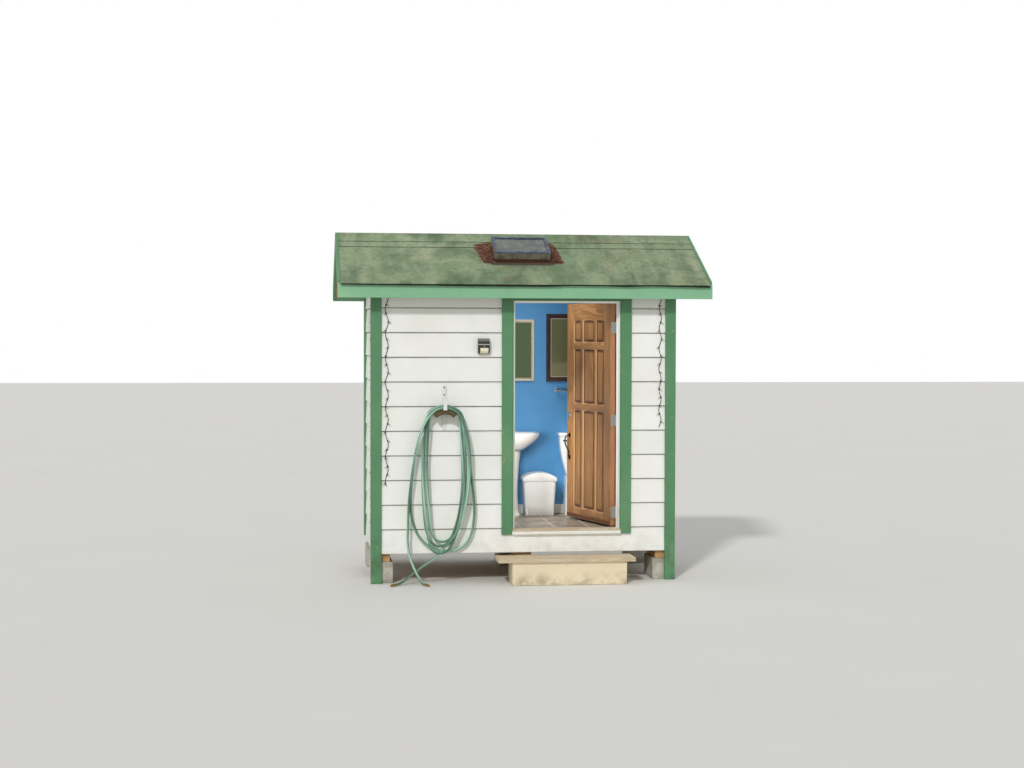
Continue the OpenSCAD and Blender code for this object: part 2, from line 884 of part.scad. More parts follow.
module door_hinges() {
    color("silver") swing()
        for (z = hinge_zs)
            translate([hinge_x, hinge_y, z - hinge_h / 2]) {
                knuckles(1);
                for (i = [1 : 2 : knuckle_n - 1])
                    translate([-hinge_r + 0.5, -hinge_r - strap_in, i * hinge_h / knuckle_n + 0.2])
                        cube([hinge_leaf_t, hinge_r + strap_in, hinge_h / knuckle_n - 0.4]);
                translate([leaf_r - hinge_leaf_t - hinge_x, -hinge_r - hinge_leaf_w, 0])
                    cube([hinge_leaf_t, hinge_leaf_w - 0.2, hinge_h]);
            }
}

module jamb_hinges() {
    color("silver") place()
        for (z = hinge_zs)
            translate([hinge_x, hinge_y, z - hinge_h / 2]) {
                knuckles(0);
                cylinder(h = hinge_h, r = pin_r);
                translate([0, 0, hinge_h]) cylinder(h = 4, r1 = hinge_r - 1, r2 = 3);
            }
}

// Handle: a plate with a bowed grip outside and a knob inside
module door_handle() {
    plate_r = 24;
    plate_hz = 105;
    plate_t = 6;
    grip_r = 8;
    knob_z = 95;
    color("black") swing()
        translate([leaf_r - leaf_w + handle_s, inner_y - leaf_t, handle_z]) {
            hull() for (s = [-1, 1])
                translate([0, 0, s * plate_hz]) rotate([90, 0, 0]) cylinder(h = plate_t, r = plate_r);
            tube(grip_points, grip_r, 12);
            translate([0, leaf_t, knob_z]) rotate([-90, 0, 0]) rotate_extrude() polygon(knob_profile);
        }
}

module door_deadbolt() {
    rose_r = 28;
    turn_w = 12;
    turn_h = 38;
    color("black") swing()
        translate([leaf_r - leaf_w + handle_s, inner_y - leaf_t, bolt_z]) {
            rotate([90, 0, 0]) cylinder(h = 14, r1 = rose_r, r2 = rose_r - 5);
            translate([0, leaf_t, 0]) rotate([-90, 0, 0]) cylinder(h = 10, r = rose_r);
            translate([-turn_w / 2, leaf_t + 8, -turn_h / 2]) cube([turn_w, 16, turn_h]);
        }
}

module door_sweep() {
    color("dimgray") swing()
        translate([leaf_r - leaf_w + sweep_in, inner_y - leaf_t - sweep_t, leaf_z])
            cube([leaf_w - 2 * sweep_in, sweep_t, sweep_h]);
}

// Lamp beside the doorway: a solar top over a light panel
module wall_light() {
    lamp_w = 105;
    color("black") place()
        translate([lamp_x - lamp_w / 2, front_y - butt_t + 1, lamp_z])
            rotate([90, 0, 90]) linear_extrude(lamp_w) polygon(lamp_profile);
}

// A tube swept along points, with one ring at each
function unit(v) = v / norm(v);
function tube_dir(p, i) = unit(p[min(i + 1, len(p) - 1)] - p[max(i - 1, 0)]);
function tube_side(d) = unit(cross(d, abs(d.z) < 0.9 ? [0, 0, 1] : [0, 1, 0]));
function tube_ring(c, d, side, r, n) = [
    for (k = [0 : n - 1]) c + r * (side * cos(360 * k / n) + cross(side, d) * sin(360 * k / n))
];
// Each ring's side follows the one before it, so that the tube never twists
function tube_sides(p, i = 0, prev = undef) =
    i == len(p) ? [] :
    let (
        d = tube_dir(p, i),
        s = prev == undef ? tube_side(d) : unit(prev - d * (prev * d))
    ) concat([s], tube_sides(p, i + 1, s));

module tube(p, r, n) {
    sides = tube_sides(p);
    rings = [for (i = [0 : len(p) - 1]) each tube_ring(p[i], tube_dir(p, i), sides[i], r, n)];
    walls = [for (i = [0 : len(p) - 2], k = [0 : n - 1])
        [i * n + k, i * n + (k + 1) % n, (i + 1) * n + (k + 1) % n, (i + 1) * n + k]];
    ends = [[for (k = [n - 1 : -1 : 0]) k], [for (k = [0 : n - 1]) (len(p) - 1) * n + k]];
    polyhedron(points = rings, faces = concat(walls, ends), convexity = 6);
}

// Strings of small lamps, hung from the eaves down the corners
module light_string(start, sway, drop, turn) {
    tube([for (s = [0 : string_step : drop]) start + sway * sin(s * turn) - [0, 0, s]], string_d / 2, 6);
}

module light_strings() {
    x = half_w - string_in;
    y = front_y - string_out;
    side_x = -half_w - string_out;
    color("darkgreen") place() {
        light_string([-x, y, string_top], [14, 0, 0], string_top * 2 / 3, 1.1);
        light_string([x, y, string_top], [12, 0, 0], string_top * 0.47, 1.3);
        light_string([side_x, front_y * 0.64, string_top], [0, 16, 0], string_top * 0.83, 1.2);
    }
}

// Hose and its hook
module hose_hook() {
    x = hook_x - strap_w / 2;
    arm_z = saddle_z + saddle_in - strap_t - joint_gap;
    low = saddle_z - 40;
    color("white") place() {
        box([x, siding_y - strap_t, low], [x + strap_w, siding_y, hook_z]);
        box([x, prong_y - strap_t, arm_z], [x + strap_w, siding_y - 1, arm_z + strap_t]);
        box([x, prong_y - strap_t, arm_z], [x + strap_w, prong_y, prong_top]);
    }
}

// A bent block cut from a round, whose underside rests on the hook's arm
module hose_saddle() {
    color("saddlebrown") place() run_y(saddle_y - saddle_d, saddle_y)
        translate([hook_x, saddle_z])
            intersection() {
                difference() {
                    circle(r = saddle_r, $fn = 96);
                    circle(r = saddle_in, $fn = 96);
                    translate([-strap_w / 2 - joint_gap, 0])
                        square([strap_w + 2 * joint_gap, saddle_in]);
                }
                translate([-saddle_half, saddle_in / 2]) square([2 * saddle_half, saddle_r]);
            }
}

module hank_outline() {
    difference() {
        hull() {
            translate([hook_x, saddle_z]) circle(r = hank_top_r, $fn = 64);
            translate([hank_low_x, hank_low_z]) circle(r = hank_low_r, $fn = 64);
        }
        hull() {
            translate([hook_x, saddle_z]) circle(r = saddle_r + joint_gap, $fn = 96);
            translate([hank_in_x, hank_low_z + 20]) circle(r = hank_in_r, $fn = 64);
        }
    }
}

module hose_hank() {
    color("forestgreen") place() run_y(hank_y - hank_t / 2, hank_y + hank_t / 2) hank_outline();
}

module hose_tails() {
    color("forestgreen") place() {
        tube(tail_a, hose_d / 2, 8);
        tube(tail_b, hose_d / 2, 8);
    }
}

module coupling_at(p, turn) {
    translate(p) rotate([0, 0, turn]) rotate([0, 90, 0])
        rotate_extrude()
            polygon([[0, 0], [11.5, 0], [11.5, 20], [12, 20], [12, 38], [9, 38], [9, 44], [0, 44]]);
}

module hose_couplings() {
    color("goldenrod") place() {
        coupling_at(tail_a[7] + [0, -0.2, 0], -62);
        coupling_at(tail_b[7] + [-0.2, 0, 0], -131);
    }
}

// Washroom. An oval plate with half widths along X and Y
module oval(a, b, h) {
    linear_extrude(h) polygon([for (i = [0 : 35]) [a * cos(i * 10), b * sin(i * 10)]]);
}

module washbasin() {
    rim_h = 30;
    rim_b = 190;
    bowl_rim = 50;
    back_in = 40;
    back_d = 60;
    low = [120, 100, 10];
    drain = [110, 70, 2];
    drain_z = -110;
    color("white") place() translate([sink_x, inner_d, floor_z + sink_h])
        difference() {
            hull() {
                translate([0, -sink_d + rim_b, -rim_h]) oval(sink_w / 2, rim_b, rim_h);
                translate([-sink_w / 2 + back_in, -back_d, -rim_h])
                    cube([sink_w - 2 * back_in, back_d, rim_h]);
                translate([0, -basin_mid, -basin_drop]) oval(low.x, low.y, low.z);
            }
            hull() {
                translate([0, -sink_d + rim_b - 12, -2]) oval(sink_w / 2 - bowl_rim, rim_b - bowl_rim, 10);
                translate([0, -sink_d + rim_b + 10, drain_z]) oval(drain.x, drain.y, drain.z);
            }
        }
}

module basin_pedestal() {
    top = sink_h - basin_drop;
    foot_r = 105;
    foot_h = 18;
    neck = 28;
    color("white") place() translate([sink_x, inner_d - basin_mid, floor_z])
        rotate_extrude()
            polygon(concat(
                [[0, 0], [foot_r, 0], [foot_r, foot_h]],
                [for (t = [0 : 0.1 : 1])
                    [foot_r - 5 - neck * sin(180 * pow(t, 0.8)), foot_h + 6 + t * (top - foot_h - 6)]],
                [[0, top]]
            ));
}

module basin_tap() {
    body_r = 17;
    body_h = 60;
    spout_r = 11;
    plate = [140, 44, 6];
    lever = [16, 62, 8];
    color("silver") place() translate([sink_x, inner_d - 75, floor_z + sink_h]) {
        translate([-plate.x / 2, -plate.y / 2, 0]) cube(plate);
        cylinder(h = body_h, r = body_r);
        translate([0, 0, body_h - 15]) rotate([78, 0, 0]) cylinder(h = 110, r = spout_r);
        translate([0, 0, body_h]) cylinder(h = 18, r1 = body_r, r2 = body_r - 4);
        translate([-lever.x / 2, 2 - lever.y, body_h + 14]) cube(lever);
    }
}

// A framed panel with its back on the wall
module framed(w, h, t, rim) {
    difference() {
        translate([-w / 2, -t, -h / 2]) cube([w, t, h]);
        translate([-w / 2 + rim, -t - 1, -h / 2 + rim]) cube([w - 2 * rim, rim_deep + 1, h - 2 * rim]);
    }
}

module wall_mirror() {
    color("wheat") place()
        translate([sink_x, inner_d, floor_z + mirror_z]) framed(mirror_w, mirror_h, rim_t, rim_w);
}

module picture() {
    color("saddlebrown") place()
        translate([picture_x, inner_d, floor_z + picture_z])
            framed(picture_w, picture_h, rim_t + 4, rim_w + 12);
}

module towel_rail() {
    rail_r = 9;
    rail_out = 62;
    rose_r = 25;
    rose_t = 8;
    end = 12;
    color("silver") place() translate([picture_x, inner_d, floor_z + towel_z]) {
        for (side = [-1, 1])
            translate([side * towel_w / 2, 0, 0]) rotate([90, 0, 0]) {
                cylinder(h = rose_t, r = rose_r);
                cylinder(h = rail_out, r = rail_r);
            }
        translate([-towel_w / 2 - end, -rail_out, 0]) rotate([0, 90, 0])
            cylinder(h = towel_w + 2 * end, r = rail_r);
    }
}

// Toilet: bowl, foot, shroud, seat and lid in one piece of china, drawn from the wall's face
module toilet_bowl() {
    bowl_a = bowl_w / 2;
    bowl_b = 220;
    bowl_y = bowl_b - toilet_l;
    rim_h = 40;
    rim_z = toilet_h - 60;
    foot_a = 112;
    foot_b = 150;
    foot_y = bowl_y + 60;
    foot_h = 62;
    shroud = [400, 210, toilet_h - tank_drop];
    shroud_in = 10;
    wall_gap = 20;
    seat_a = bowl_a + 3;
    seat_b = bowl_b - 5;
    seat_t = 22;
    hinge_bar = [200, 40, 40];
    color("white") place() translate([toilet_x, inner_d, floor_z]) {
        hull() {
            translate([0, bowl_y, rim_z]) oval(bowl_a, bowl_b, rim_h);
            translate([-bowl_a * 0.7, -wall_gap - shroud.y, rim_z]) cube([bowl_a * 1.4, 20, rim_h]);
            translate([0, foot_y, foot_h - 2]) oval(foot_a, foot_b, 5);
        }
        hull() {
            translate([0, foot_y, foot_h]) oval(foot_a, foot_b, 5);
            translate([0, foot_y + 10, 0]) oval(foot_a + 10, foot_b + 40, 40);
        }
        hull() {
            translate([-shroud.x / 2, -wall_gap - shroud.y, 0]) cube([shroud.x, shroud.y, 20]);
            translate([-shroud.x / 2 + shroud_in, -wall_gap - shroud.y, shroud.z - 20])
                cube([shroud.x - 2 * shroud_in, shroud.y, 20]);
        }
        intersection() {
            translate([0, seat_b - toilet_l, toilet_h - 20]) {
                oval(seat_a, seat_b, seat_t);
                translate([0, 0, seat_t]) oval(seat_a - 3, seat_b - 3, 18);
            }
            translate([-seat_a, -toilet_l, 0])
                cube([2 * seat_a, toilet_l - wall_gap - shroud.y + 20, toilet_h + 20]);
        }
        translate([-hinge_bar.x / 2, -wall_gap - shroud.y, toilet_h - 20]) cube(hinge_bar);
    }
}

module toilet_tank() {
    depth = 185;
    tank_in = 70;
    lid_over = 10;
    lid_t = 32;
    lever = [60, 18, 14];
    color("white") place() translate([toilet_x, inner_d - 10, floor_z + toilet_h - tank_drop]) {
        hull() {
            translate([-tank_w / 2 + tank_in, 20 - depth, 0]) cube([tank_w - 2 * tank_in, depth - 20, 10]);
            translate([-tank_w / 2, -depth, tank_h - 10]) cube([tank_w, depth, 10]);
        }
        translate([-tank_w / 2 - lid_over, -depth - lid_over, tank_h])
            cube([tank_w + 2 * lid_over, depth + lid_over, lid_t]);
        translate([30 - tank_w / 2, -depth - 15, tank_h - 50]) cube(lever);
    }
}

// Waste bin with straight tapering walls and a bowed lid
module waste_bin() {
    taper = 35;
    rim = 20;
    bow_r = 235;
    bow_drop = 165;
    color("white") place() translate([bin_x, inner_d - 20, floor_z]) {
        hull() {
            translate([taper - bin_w / 2, rim - bin_d, 0]) cube([bin_w - 2 * taper, bin_d - 2 * rim, 10]);
            translate([-bin_w / 2, -bin_d, bin_h - rim]) cube([bin_w, bin_d, rim]);
        }
        translate([0, 0, bin_h]) run_y(-bin_d, 0)
            intersection() {
                translate([0, -bow_drop]) circle(r = bow_r, $fn = 64);
                translate([-bin_w / 2, 0]) square([bin_w, bow_r]);
            }
    }
}

footing_blocks();
footing_packers();
floor_joists();
floor_deck();
floor_tiles();
baseboards();
front_wall_left();
front_wall_right();
front_wall_head();
left_wall();
right_wall();
back_wall();
siding_front_base();
siding_front();
siding_left();
siding_right();
siding_back();
corner_boards();
door_casings();
door_frame();
door_threshold();
door_sill();
rafters();
ridge_board();
eave_blocking();
roof_deck_front();
roof_deck_back();
roofing_front();
roofing_back();
ridge_cap();
fascias();
barge_boards();
skylight_curb();
skylight_frame();
skylight_glass();
step_tread();
step_base();
door_leaf();
door_hinges();
jamb_hinges();
door_handle();
door_deadbolt();
door_sweep();
wall_light();
light_strings();
hose_hook();
hose_saddle();
hose_hank();
hose_tails();
hose_couplings();
washbasin();
basin_pedestal();
basin_tap();
wall_mirror();
picture();
towel_rail();
toilet_bowl();
toilet_tank();
waste_bin();
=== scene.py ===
"""Wooden outhouse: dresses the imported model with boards, paint, fittings, lamps and the camera."""

import logging
import math
import random
from collections.abc import Callable, Iterable, Sequence
from dataclasses import dataclass, replace
from enum import Enum

import bmesh
import bpy
from mathutils import Matrix, Vector, noise


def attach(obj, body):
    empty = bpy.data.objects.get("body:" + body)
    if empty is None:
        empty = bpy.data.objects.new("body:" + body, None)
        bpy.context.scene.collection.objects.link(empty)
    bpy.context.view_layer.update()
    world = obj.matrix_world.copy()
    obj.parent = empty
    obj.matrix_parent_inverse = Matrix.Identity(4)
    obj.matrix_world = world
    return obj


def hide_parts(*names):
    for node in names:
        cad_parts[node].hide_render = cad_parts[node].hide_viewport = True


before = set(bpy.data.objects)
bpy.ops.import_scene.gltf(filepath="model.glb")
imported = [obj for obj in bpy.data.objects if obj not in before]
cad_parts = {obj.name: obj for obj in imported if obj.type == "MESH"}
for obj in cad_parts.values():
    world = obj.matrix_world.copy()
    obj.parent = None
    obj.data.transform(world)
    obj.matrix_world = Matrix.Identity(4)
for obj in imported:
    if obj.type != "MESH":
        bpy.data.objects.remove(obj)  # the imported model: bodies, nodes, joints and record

log = logging.getLogger("outhouse")
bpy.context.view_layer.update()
CLEAR = 0.0004  # the gap that keeps pieces beside each other from touching, in metres
Colour = tuple[float, float, float]
Point = tuple[float, float, float]
Outline = Sequence[tuple[float, float]]


class Body(Enum):
    """The bodies that pieces ride on."""

    HUT = "hut"
    DOOR = "door"


class Axis(Enum):
    """A direction that grain, a profile or a turned shape runs along."""

    X = 0
    Y = 1
    Z = 2


def tone(red: int, green: int, blue: int) -> Colour:
    """A colour as a screen shows it, turned into linear light.

    Args:
        red, green, blue: the screen's values from 0 to 255.

    Returns:
        The linear colour.
    """
    parts = (c / 255 for c in (red, green, blue))
    return tuple(c / 12.92 if c <= 0.04045 else ((c + 0.055) / 1.055) ** 2.4 for c in parts)


def wheel(count: int) -> list[tuple[float, float]]:
    """The cosine and the sine of even steps round a circle."""
    return [(math.cos(math.tau * k / count), math.sin(math.tau * k / count)) for k in range(count)]


# --- Node trees -------------------------------------------------------------------------------


class Signal:
    """One socket of a node tree; arithmetic on it adds Math nodes."""

    def __init__(self, graph: "Graph", socket: bpy.types.NodeSocket) -> None:
        """Keeps the socket and the tree that it is in."""
        self.graph = graph
        self.socket = socket

    def _math(self, operation: str, *terms: "Signal | float") -> "Signal":
        """Adds one Math node on the terms."""
        return self.graph.node("ShaderNodeMath", {"operation": operation}, dict(enumerate(terms)))

    def __add__(self, other: "Signal | float") -> "Signal":
        """self + other."""
        return self._math("ADD", self, other)

    def __radd__(self, other: float) -> "Signal":
        """other + self."""
        return self._math("ADD", other, self)

    def __sub__(self, other: "Signal | float") -> "Signal":
        """self - other."""
        return self._math("SUBTRACT", self, other)

    def __rsub__(self, other: float) -> "Signal":
        """other - self."""
        return self._math("SUBTRACT", other, self)

    def __mul__(self, other: "Signal | float") -> "Signal":
        """self * other."""
        return self._math("MULTIPLY", self, other)

    def __rmul__(self, other: float) -> "Signal":
        """other * self."""
        return self._math("MULTIPLY", other, self)

    def __truediv__(self, other: "Signal | float") -> "Signal":
        """self / other."""
        return self._math("DIVIDE", self, other)

    def wrap(self) -> "Signal":
        """The part after the decimal point."""
        return self._math("FRACT", self)

    def most(self, other: "Signal | float") -> "Signal":
        """The larger of the two."""
        return self._math("MAXIMUM", self, other)

    def step(self, low: float, high: float) -> "Signal":
        """Rises smoothly from 0 at low to 1 at high."""
        return self.graph.node(
            "ShaderNodeMapRange",
            {"interpolation_type": "SMOOTHSTEP"},
            {"Value": self, "From Min": low, "From Max": high},
        )


class Graph:
    """Adds nodes to a tree and feeds their sockets."""

    def __init__(self, tree: bpy.types.NodeTree) -> None:
        """Keeps the tree."""
        self.tree = tree

    def feed(self, socket: bpy.types.NodeSocket, value: object) -> None:
        """Links a Signal to a socket, or sets the socket to a plain value."""
        if isinstance(value, Signal):
            self.tree.links.new(value.socket, socket)
            return
        if isinstance(value, tuple) and len(value) == 3 and len(socket.default_value) == 4:
            value = (*value, 1.0)
        socket.default_value = value

    def node(
        self,
        kind: str,
        settings: dict[str, object] | None = None,
        sockets: dict[str | int, object] | None = None,
        output: str | int = 0,
    ) -> Signal:
        """Adds one node.

        Args:
            kind: the node's type name.
            settings: its properties, which are set first; "stops" are a ramp's places and colours.
            sockets: values or Signals for its inputs, by name or number.
            output: the output that is wanted.

        Returns:
            That output.
        """
        made = self.tree.nodes.new(kind)
        for key, value in (settings or {}).items():
            if key == "stops":
                marks = made.color_ramp.elements
                while len(marks) < len(value):
                    marks.new(0.5)
                for mark, (place, colour) in zip(marks, value):
                    mark.position, mark.color = place, (*colour, 1.0)
            else:
                setattr(made, key, value)
        for key, value in (sockets or {}).items():
            self.feed(made.inputs[key], value)
        return Signal(self, made.outputs[output])


class Surface(Graph):
    """One material while its pattern is being drawn."""

    def __init__(self, name: str) -> None:
        """Starts a material with its plain shader."""
        self.material = bpy.data.materials.new(name)
        self.material.use_nodes = True
        super().__init__(self.material.node_tree)
        self.shader = self.tree.nodes["Principled BSDF"]
        self.place = self.node("ShaderNodeTexCoord", output="Object")

    def mapped(self, stretch: Point, shift: Point = (0, 0, 0), at: Signal | None = None) -> Signal:
        """Coordinates that are stretched and shifted."""
        sockets = {"Vector": at or self.place, "Scale": stretch, "Location": shift}
        return self.node("ShaderNodeMapping", None, sockets)

    def drawn(self, axis: Axis, squeeze: float) -> Signal:
        """Coordinates squeezed along one axis, which draws a pattern out along it."""
        return self.mapped(tuple(squeeze if k == axis.value else 1.0 for k in range(3)))

    def mark(self, name: str, output: str = "Vector") -> Signal:
        """A named attribute of the mesh."""
        return self.node("ShaderNodeAttribute", {"attribute_name": name}, None, output)

    def along(self, axis: Axis, at: Signal | None = None) -> Signal:
        """One coordinate of a place."""
        return self.node("ShaderNodeSeparateXYZ", None, {0: at or self.place}, axis.value)

    def foot(self, low: float, high: float) -> Signal:
        """1 below a height, falling to 0 at a higher one."""
        return 1.0 - self.along(Axis.Z).step(low, high)

    def noise(
        self,
        scale: float,
        detail: float = 4.0,
        rough: float = 0.55,
        warp: float = 0.0,
        at: Signal | None = None,
    ) -> Signal:
        """Cloudy noise from 0 to 1.

        Args:
            scale: its cycles per metre.
            detail, rough, warp: its finer layers, their strength and its distortion.
            at: the coordinates, if not the object's own.

        Returns:
            The noise.
        """
        sockets = {"Vector": at or self.place, "Scale": scale, "Detail": detail, "Roughness": rough}
        return self.node("ShaderNodeTexNoise", None, {**sockets, "Distortion": warp})

    def cells(self, scale: float, output: str = "Distance") -> Signal:
        """Scattered cells; their distance or their colour."""
        sockets = {"Vector": self.place, "Scale": scale}
        return self.node("ShaderNodeTexVoronoi", {"feature": "F1"}, sockets, output)

    def blend(self, share: Signal | float, first: Signal | Colour, second: Signal | Colour) -> Signal:
        """The first colour where share is 0, the second where it is 1."""
        return self.node("ShaderNodeMix", {"data_type": "RGBA"}, {0: share, 6: first, 7: second}, 2)

    def dim(self, colour: Signal, level: Signal | float) -> Signal:
        """A colour made lighter or darker by a level."""
        return self.node("ShaderNodeVectorMath", {"operation": "SCALE"}, {0: colour, "Scale": level})

    def close(
        self,
        colour: Signal | Colour,
        rough: Signal | float,
        height: Signal | None = None,
        depth: float = 0.001,
        **constants: float,
    ) -> bpy.types.Material:
        """Feeds the shader.

        Args:
            colour: the base colour.
            rough: the roughness.
            height: the relief from 0 to 1, where there is one.
            depth: how deep that relief is, in metres.
            constants: other sockets of the shader, with _ for spaces.

        Returns:
            The finished material.
        """
        self.feed(self.shader.inputs["Base Color"], colour)
        self.feed(self.shader.inputs["Roughness"], rough)
        if height is not None:
            sockets = {"Height": height, "Distance": depth, "Strength": 1.0}
            self.feed(self.shader.inputs["Normal"], self.node("ShaderNodeBump", None, sockets))
        for name, value in constants.items():
            self.feed(self.shader.inputs[name.replace("_", " ")], value)
        return self.material


class Rule(Graph):
    """A Geometry Nodes tree with named sizes, turned into a plain mesh."""

    KINDS = {float: "NodeSocketFloat", int: "NodeSocketInt", tuple: "NodeSocketVector"}

    def __init__(self, name: str, **sizes: float | int | Point) -> None:
        """Makes the tree's interface.

        Args:
            name: the tree's name.
            sizes: its named inputs and their values.
        """
        super().__init__(bpy.data.node_groups.new(name, "GeometryNodeTree"))
        self.sizes = sizes
        face = self.tree.interface
        face.new_socket("Geometry", in_out="INPUT", socket_type="NodeSocketGeometry")
        for key, value in sizes.items():
            face.new_socket(key, in_out="INPUT", socket_type=self.KINDS[type(value)])
        face.new_socket("Geometry", in_out="OUTPUT", socket_type="NodeSocketGeometry")
        self.entry = self.tree.nodes.new("NodeGroupInput")
        self.exit = self.tree.nodes.new("NodeGroupOutput")

    def size(self, name: str) -> Signal:
        """A named input, or the geometry that comes in."""
        return Signal(self, self.entry.outputs[name])

    def scatter(self, points: Signal, shape: Signal, **sockets: object) -> Signal:
        """Puts a shape on every point."""
        sockets = {"Points": points, "Instance": shape, **sockets}
        return self.node("GeometryNodeInstanceOnPoints", None, sockets)

    def chance(self, low: object, high: object, kind: str = "FLOAT", seed: int = 3) -> Signal:
        """A random value for each point, with a fixed seed.

        Args:
            low, high: the ends of its range.
            kind: the values' data type.
            seed: the seed.

        Returns:
            The value's signal.
        """
        first, output = {"FLOAT": (2, 1), "FLOAT_VECTOR": (0, 0)}[kind]
        sockets = {first: low, first + 1: high, "Seed": seed}
        return self.node("FunctionNodeRandomValue", {"data_type": kind}, sockets, output)

    def given(self, name: str) -> Signal:
        """A vector that each point carries."""
        settings = {"data_type": "FLOAT_VECTOR"}
        return self.node("GeometryNodeInputNamedAttribute", settings, {"Name": name})

    def aim(self) -> Signal:
        """The turn that points a shape's Z the way that each point faces."""
        sockets = {"Vector": self.given("facing")}
        return self.node("FunctionNodeAlignRotationToVector", {"axis": "Z"}, sockets)

    def real(self, shape: Signal) -> Signal:
        """Gives instances their own mesh."""
        return self.node("GeometryNodeRealizeInstances", None, {0: shape})

    def shaded(self, shape: Signal, seed: int) -> Signal:
        """Gives instances their own mesh, and each a shade of its own in "board"."""
        real = self.real(shape)
        island = self.node("GeometryNodeInputMeshIsland")
        sockets = {2: 0.0, 3: 1.0, "ID": island, "Seed": seed}
        shade = self.node("FunctionNodeRandomValue", {"data_type": "FLOAT"}, sockets, 1)
        return self.node(
            "GeometryNodeStoreNamedAttribute",
            {"data_type": "FLOAT", "domain": "POINT"},
            {"Geometry": real, "Name": "board", "Value": shade},
        )

    def coat(self, shape: Signal, finish: bpy.types.Material) -> Signal:
        """Gives a shape a material."""
        sockets = {"Geometry": shape, "Material": finish}
        return self.node("GeometryNodeSetMaterial", None, sockets)

    def join(self, *shapes: Signal) -> Signal:
        """Several shapes as one."""
        made = self.tree.nodes.new("GeometryNodeJoinGeometry")
        for shape in shapes:
            self.tree.links.new(shape.socket, made.inputs[0])
        return Signal(self, made.outputs[0])

    def grow(
        self, name: str, result: Signal, bed: bpy.types.Mesh | None = None
    ) -> bpy.types.Object:
        """Runs the tree once.

        Args:
            name: the piece's name.
            result: the geometry that the tree gives.
            bed: the mesh that the tree starts from.

        Returns:
            An object with the plain mesh and no modifier.
        """
        self.feed(self.exit.inputs[0], result)
        piece = bpy.data.objects.new(name, bed or bpy.data.meshes.new(name))
        bpy.context.scene.collection.objects.link(piece)
        modifier = piece.modifiers.new("rule", "NODES")
        modifier.node_group = self.tree
        for item in self.tree.interface.items_tree:
            if item.in_out == "INPUT" and item.name in self.sizes:
                modifier[item.identifier] = self.sizes[item.name]
        bpy.context.view_layer.update()
        shown = piece.evaluated_get(bpy.context.evaluated_depsgraph_get())
        grown = bpy.data.meshes.new_from_object(shown)
        piece.modifiers.remove(modifier)
        piece.data = grown
        return piece


def seedbed(
    name: str, points: Iterable[Point], layer: str, ways: Iterable[Point]
) -> bpy.types.Mesh:
    """Loose points for a rule to grow on.

    Args:
        name: the mesh's name.
        points: where they are.
        layer: the name of the vector that each carries.
        ways: those vectors.

    Returns:
        The mesh.
    """
    bed = bpy.data.meshes.new(name)
    bed.from_pydata([tuple(point) for point in points], [], [])
    carried = bed.attributes.new(layer, "FLOAT_VECTOR", "POINT")
    carried.data.foreach_set("vector", [c for way in ways for c in way])
    return bed


# --- Finishes ---------------------------------------------------------------------------------


@dataclass(frozen=True)
class PaintedWood:
    """Brushed paint on boards, with grain that shows through, chips and grime."""

    name: str
    colour: Colour
    grain: Axis = Axis.Z
    aged: Colour = tone(196, 196, 178)
    bare: Colour = tone(150, 130, 104)
    grime: Colour = tone(92, 90, 72)
    fade: float = 0.35
    chips: float = 0.0
    soil: tuple[float, float] = (0.0, 0.35)
    soiled: float = 0.5
    rough: float = 0.5

    def base(self, s: Surface) -> tuple[Signal, Signal]:
        """The paint's colour and relief.

        Args:
            s: the surface being drawn.

        Returns:
            The colour and the height.
        """
        fibres = s.noise(150.0, 4.0, 0.6, 0.4, s.drawn(self.grain, 0.06))
        clouds = s.noise(1.7, 4.0, 0.55)
        colour = s.blend(clouds.step(0.42, 0.75) * self.fade, self.colour, self.aged)
        colour = s.dim(colour, 0.95 + 0.1 * s.noise(5.0, 3.0))
        dirt = s.foot(*self.soil) * s.noise(7.0, 6.0, 0.65).step(0.38, 0.68) * self.soiled
        streak = s.noise(9.0, 5.0, 0.6, 0.0, s.drawn(Axis.Z, 0.07)).step(0.6, 0.8) * 0.12
        colour = s.blend(dirt.most(streak), colour, self.grime)
        worn = s.noise(34.0, 6.0, 0.7, 0.3, s.drawn(self.grain, 0.25))
        chip = worn.step(0.74 - 0.2 * self.chips, 0.78 - 0.2 * self.chips)
        if self.chips:
            colour = s.blend(chip * 0.85, colour, self.bare)
        return colour, fibres * 0.5 + s.noise(500.0, 2.0) * 0.2 + (1.0 - chip) * 0.4

    def dress(self) -> bpy.types.Material:
        """Makes the material."""
        s = Surface(self.name)
        colour, height = self.base(s)
        return s.close(colour, self.rough + 0.25 * s.noise(20.0), height, 0.0007)


@dataclass(frozen=True)
class LapPaint(PaintedWood):
    """The siding's paint: grime gathers along each lap, from the first course's height up; painted shade
    darkens each board's top under the next lap, and a painted shadow line, with some dirt, runs along each
    lap's lower edge.
    """

    first: float = 0.26
    course: float = 0.219
    # The painted shadow line along each lap's lower edge, with some dirt in it.
    lap_shadow_and_dirt: Colour = tone(78, 82, 68)

    def dress(self) -> bpy.types.Material:
        """Makes the material."""
        s = Surface(self.name)
        colour, height = self.base(s)
        share = ((s.along(Axis.Z) - self.first) / self.course).wrap()
        lip = (1.0 - share.step(0.0, 0.07)) * s.noise(11.0, 5.0, 0.65).step(0.3, 0.72) * 0.3
        # Painted shade with some grime: each board's top, under the next board's lap, is darkened towards the
        # grime colour.
        under = share.step(0.9, 1.0) * s.noise(6.0, 4.0).step(0.3, 0.7) * 0.32
        colour = s.blend(lip.most(under), colour, self.grime)
        # A painted shadow line with some dirt: dark just under each lap's lower edge and on the lap's foot.
        lap_shadow_and_dirt = share.step(0.970, 0.980).most(1.0 - share.step(0.012, 0.020))
        colour = s.blend(lap_shadow_and_dirt * (0.62 + 0.3 * s.noise(3.0, 4.0)), colour, self.lap_shadow_and_dirt)
        colour = s.dim(colour, 0.965 + 0.05 * s.mark("board", "Fac"))
        return s.close(colour, 0.45 + 0.2 * s.noise(20.0), height, 0.0006)


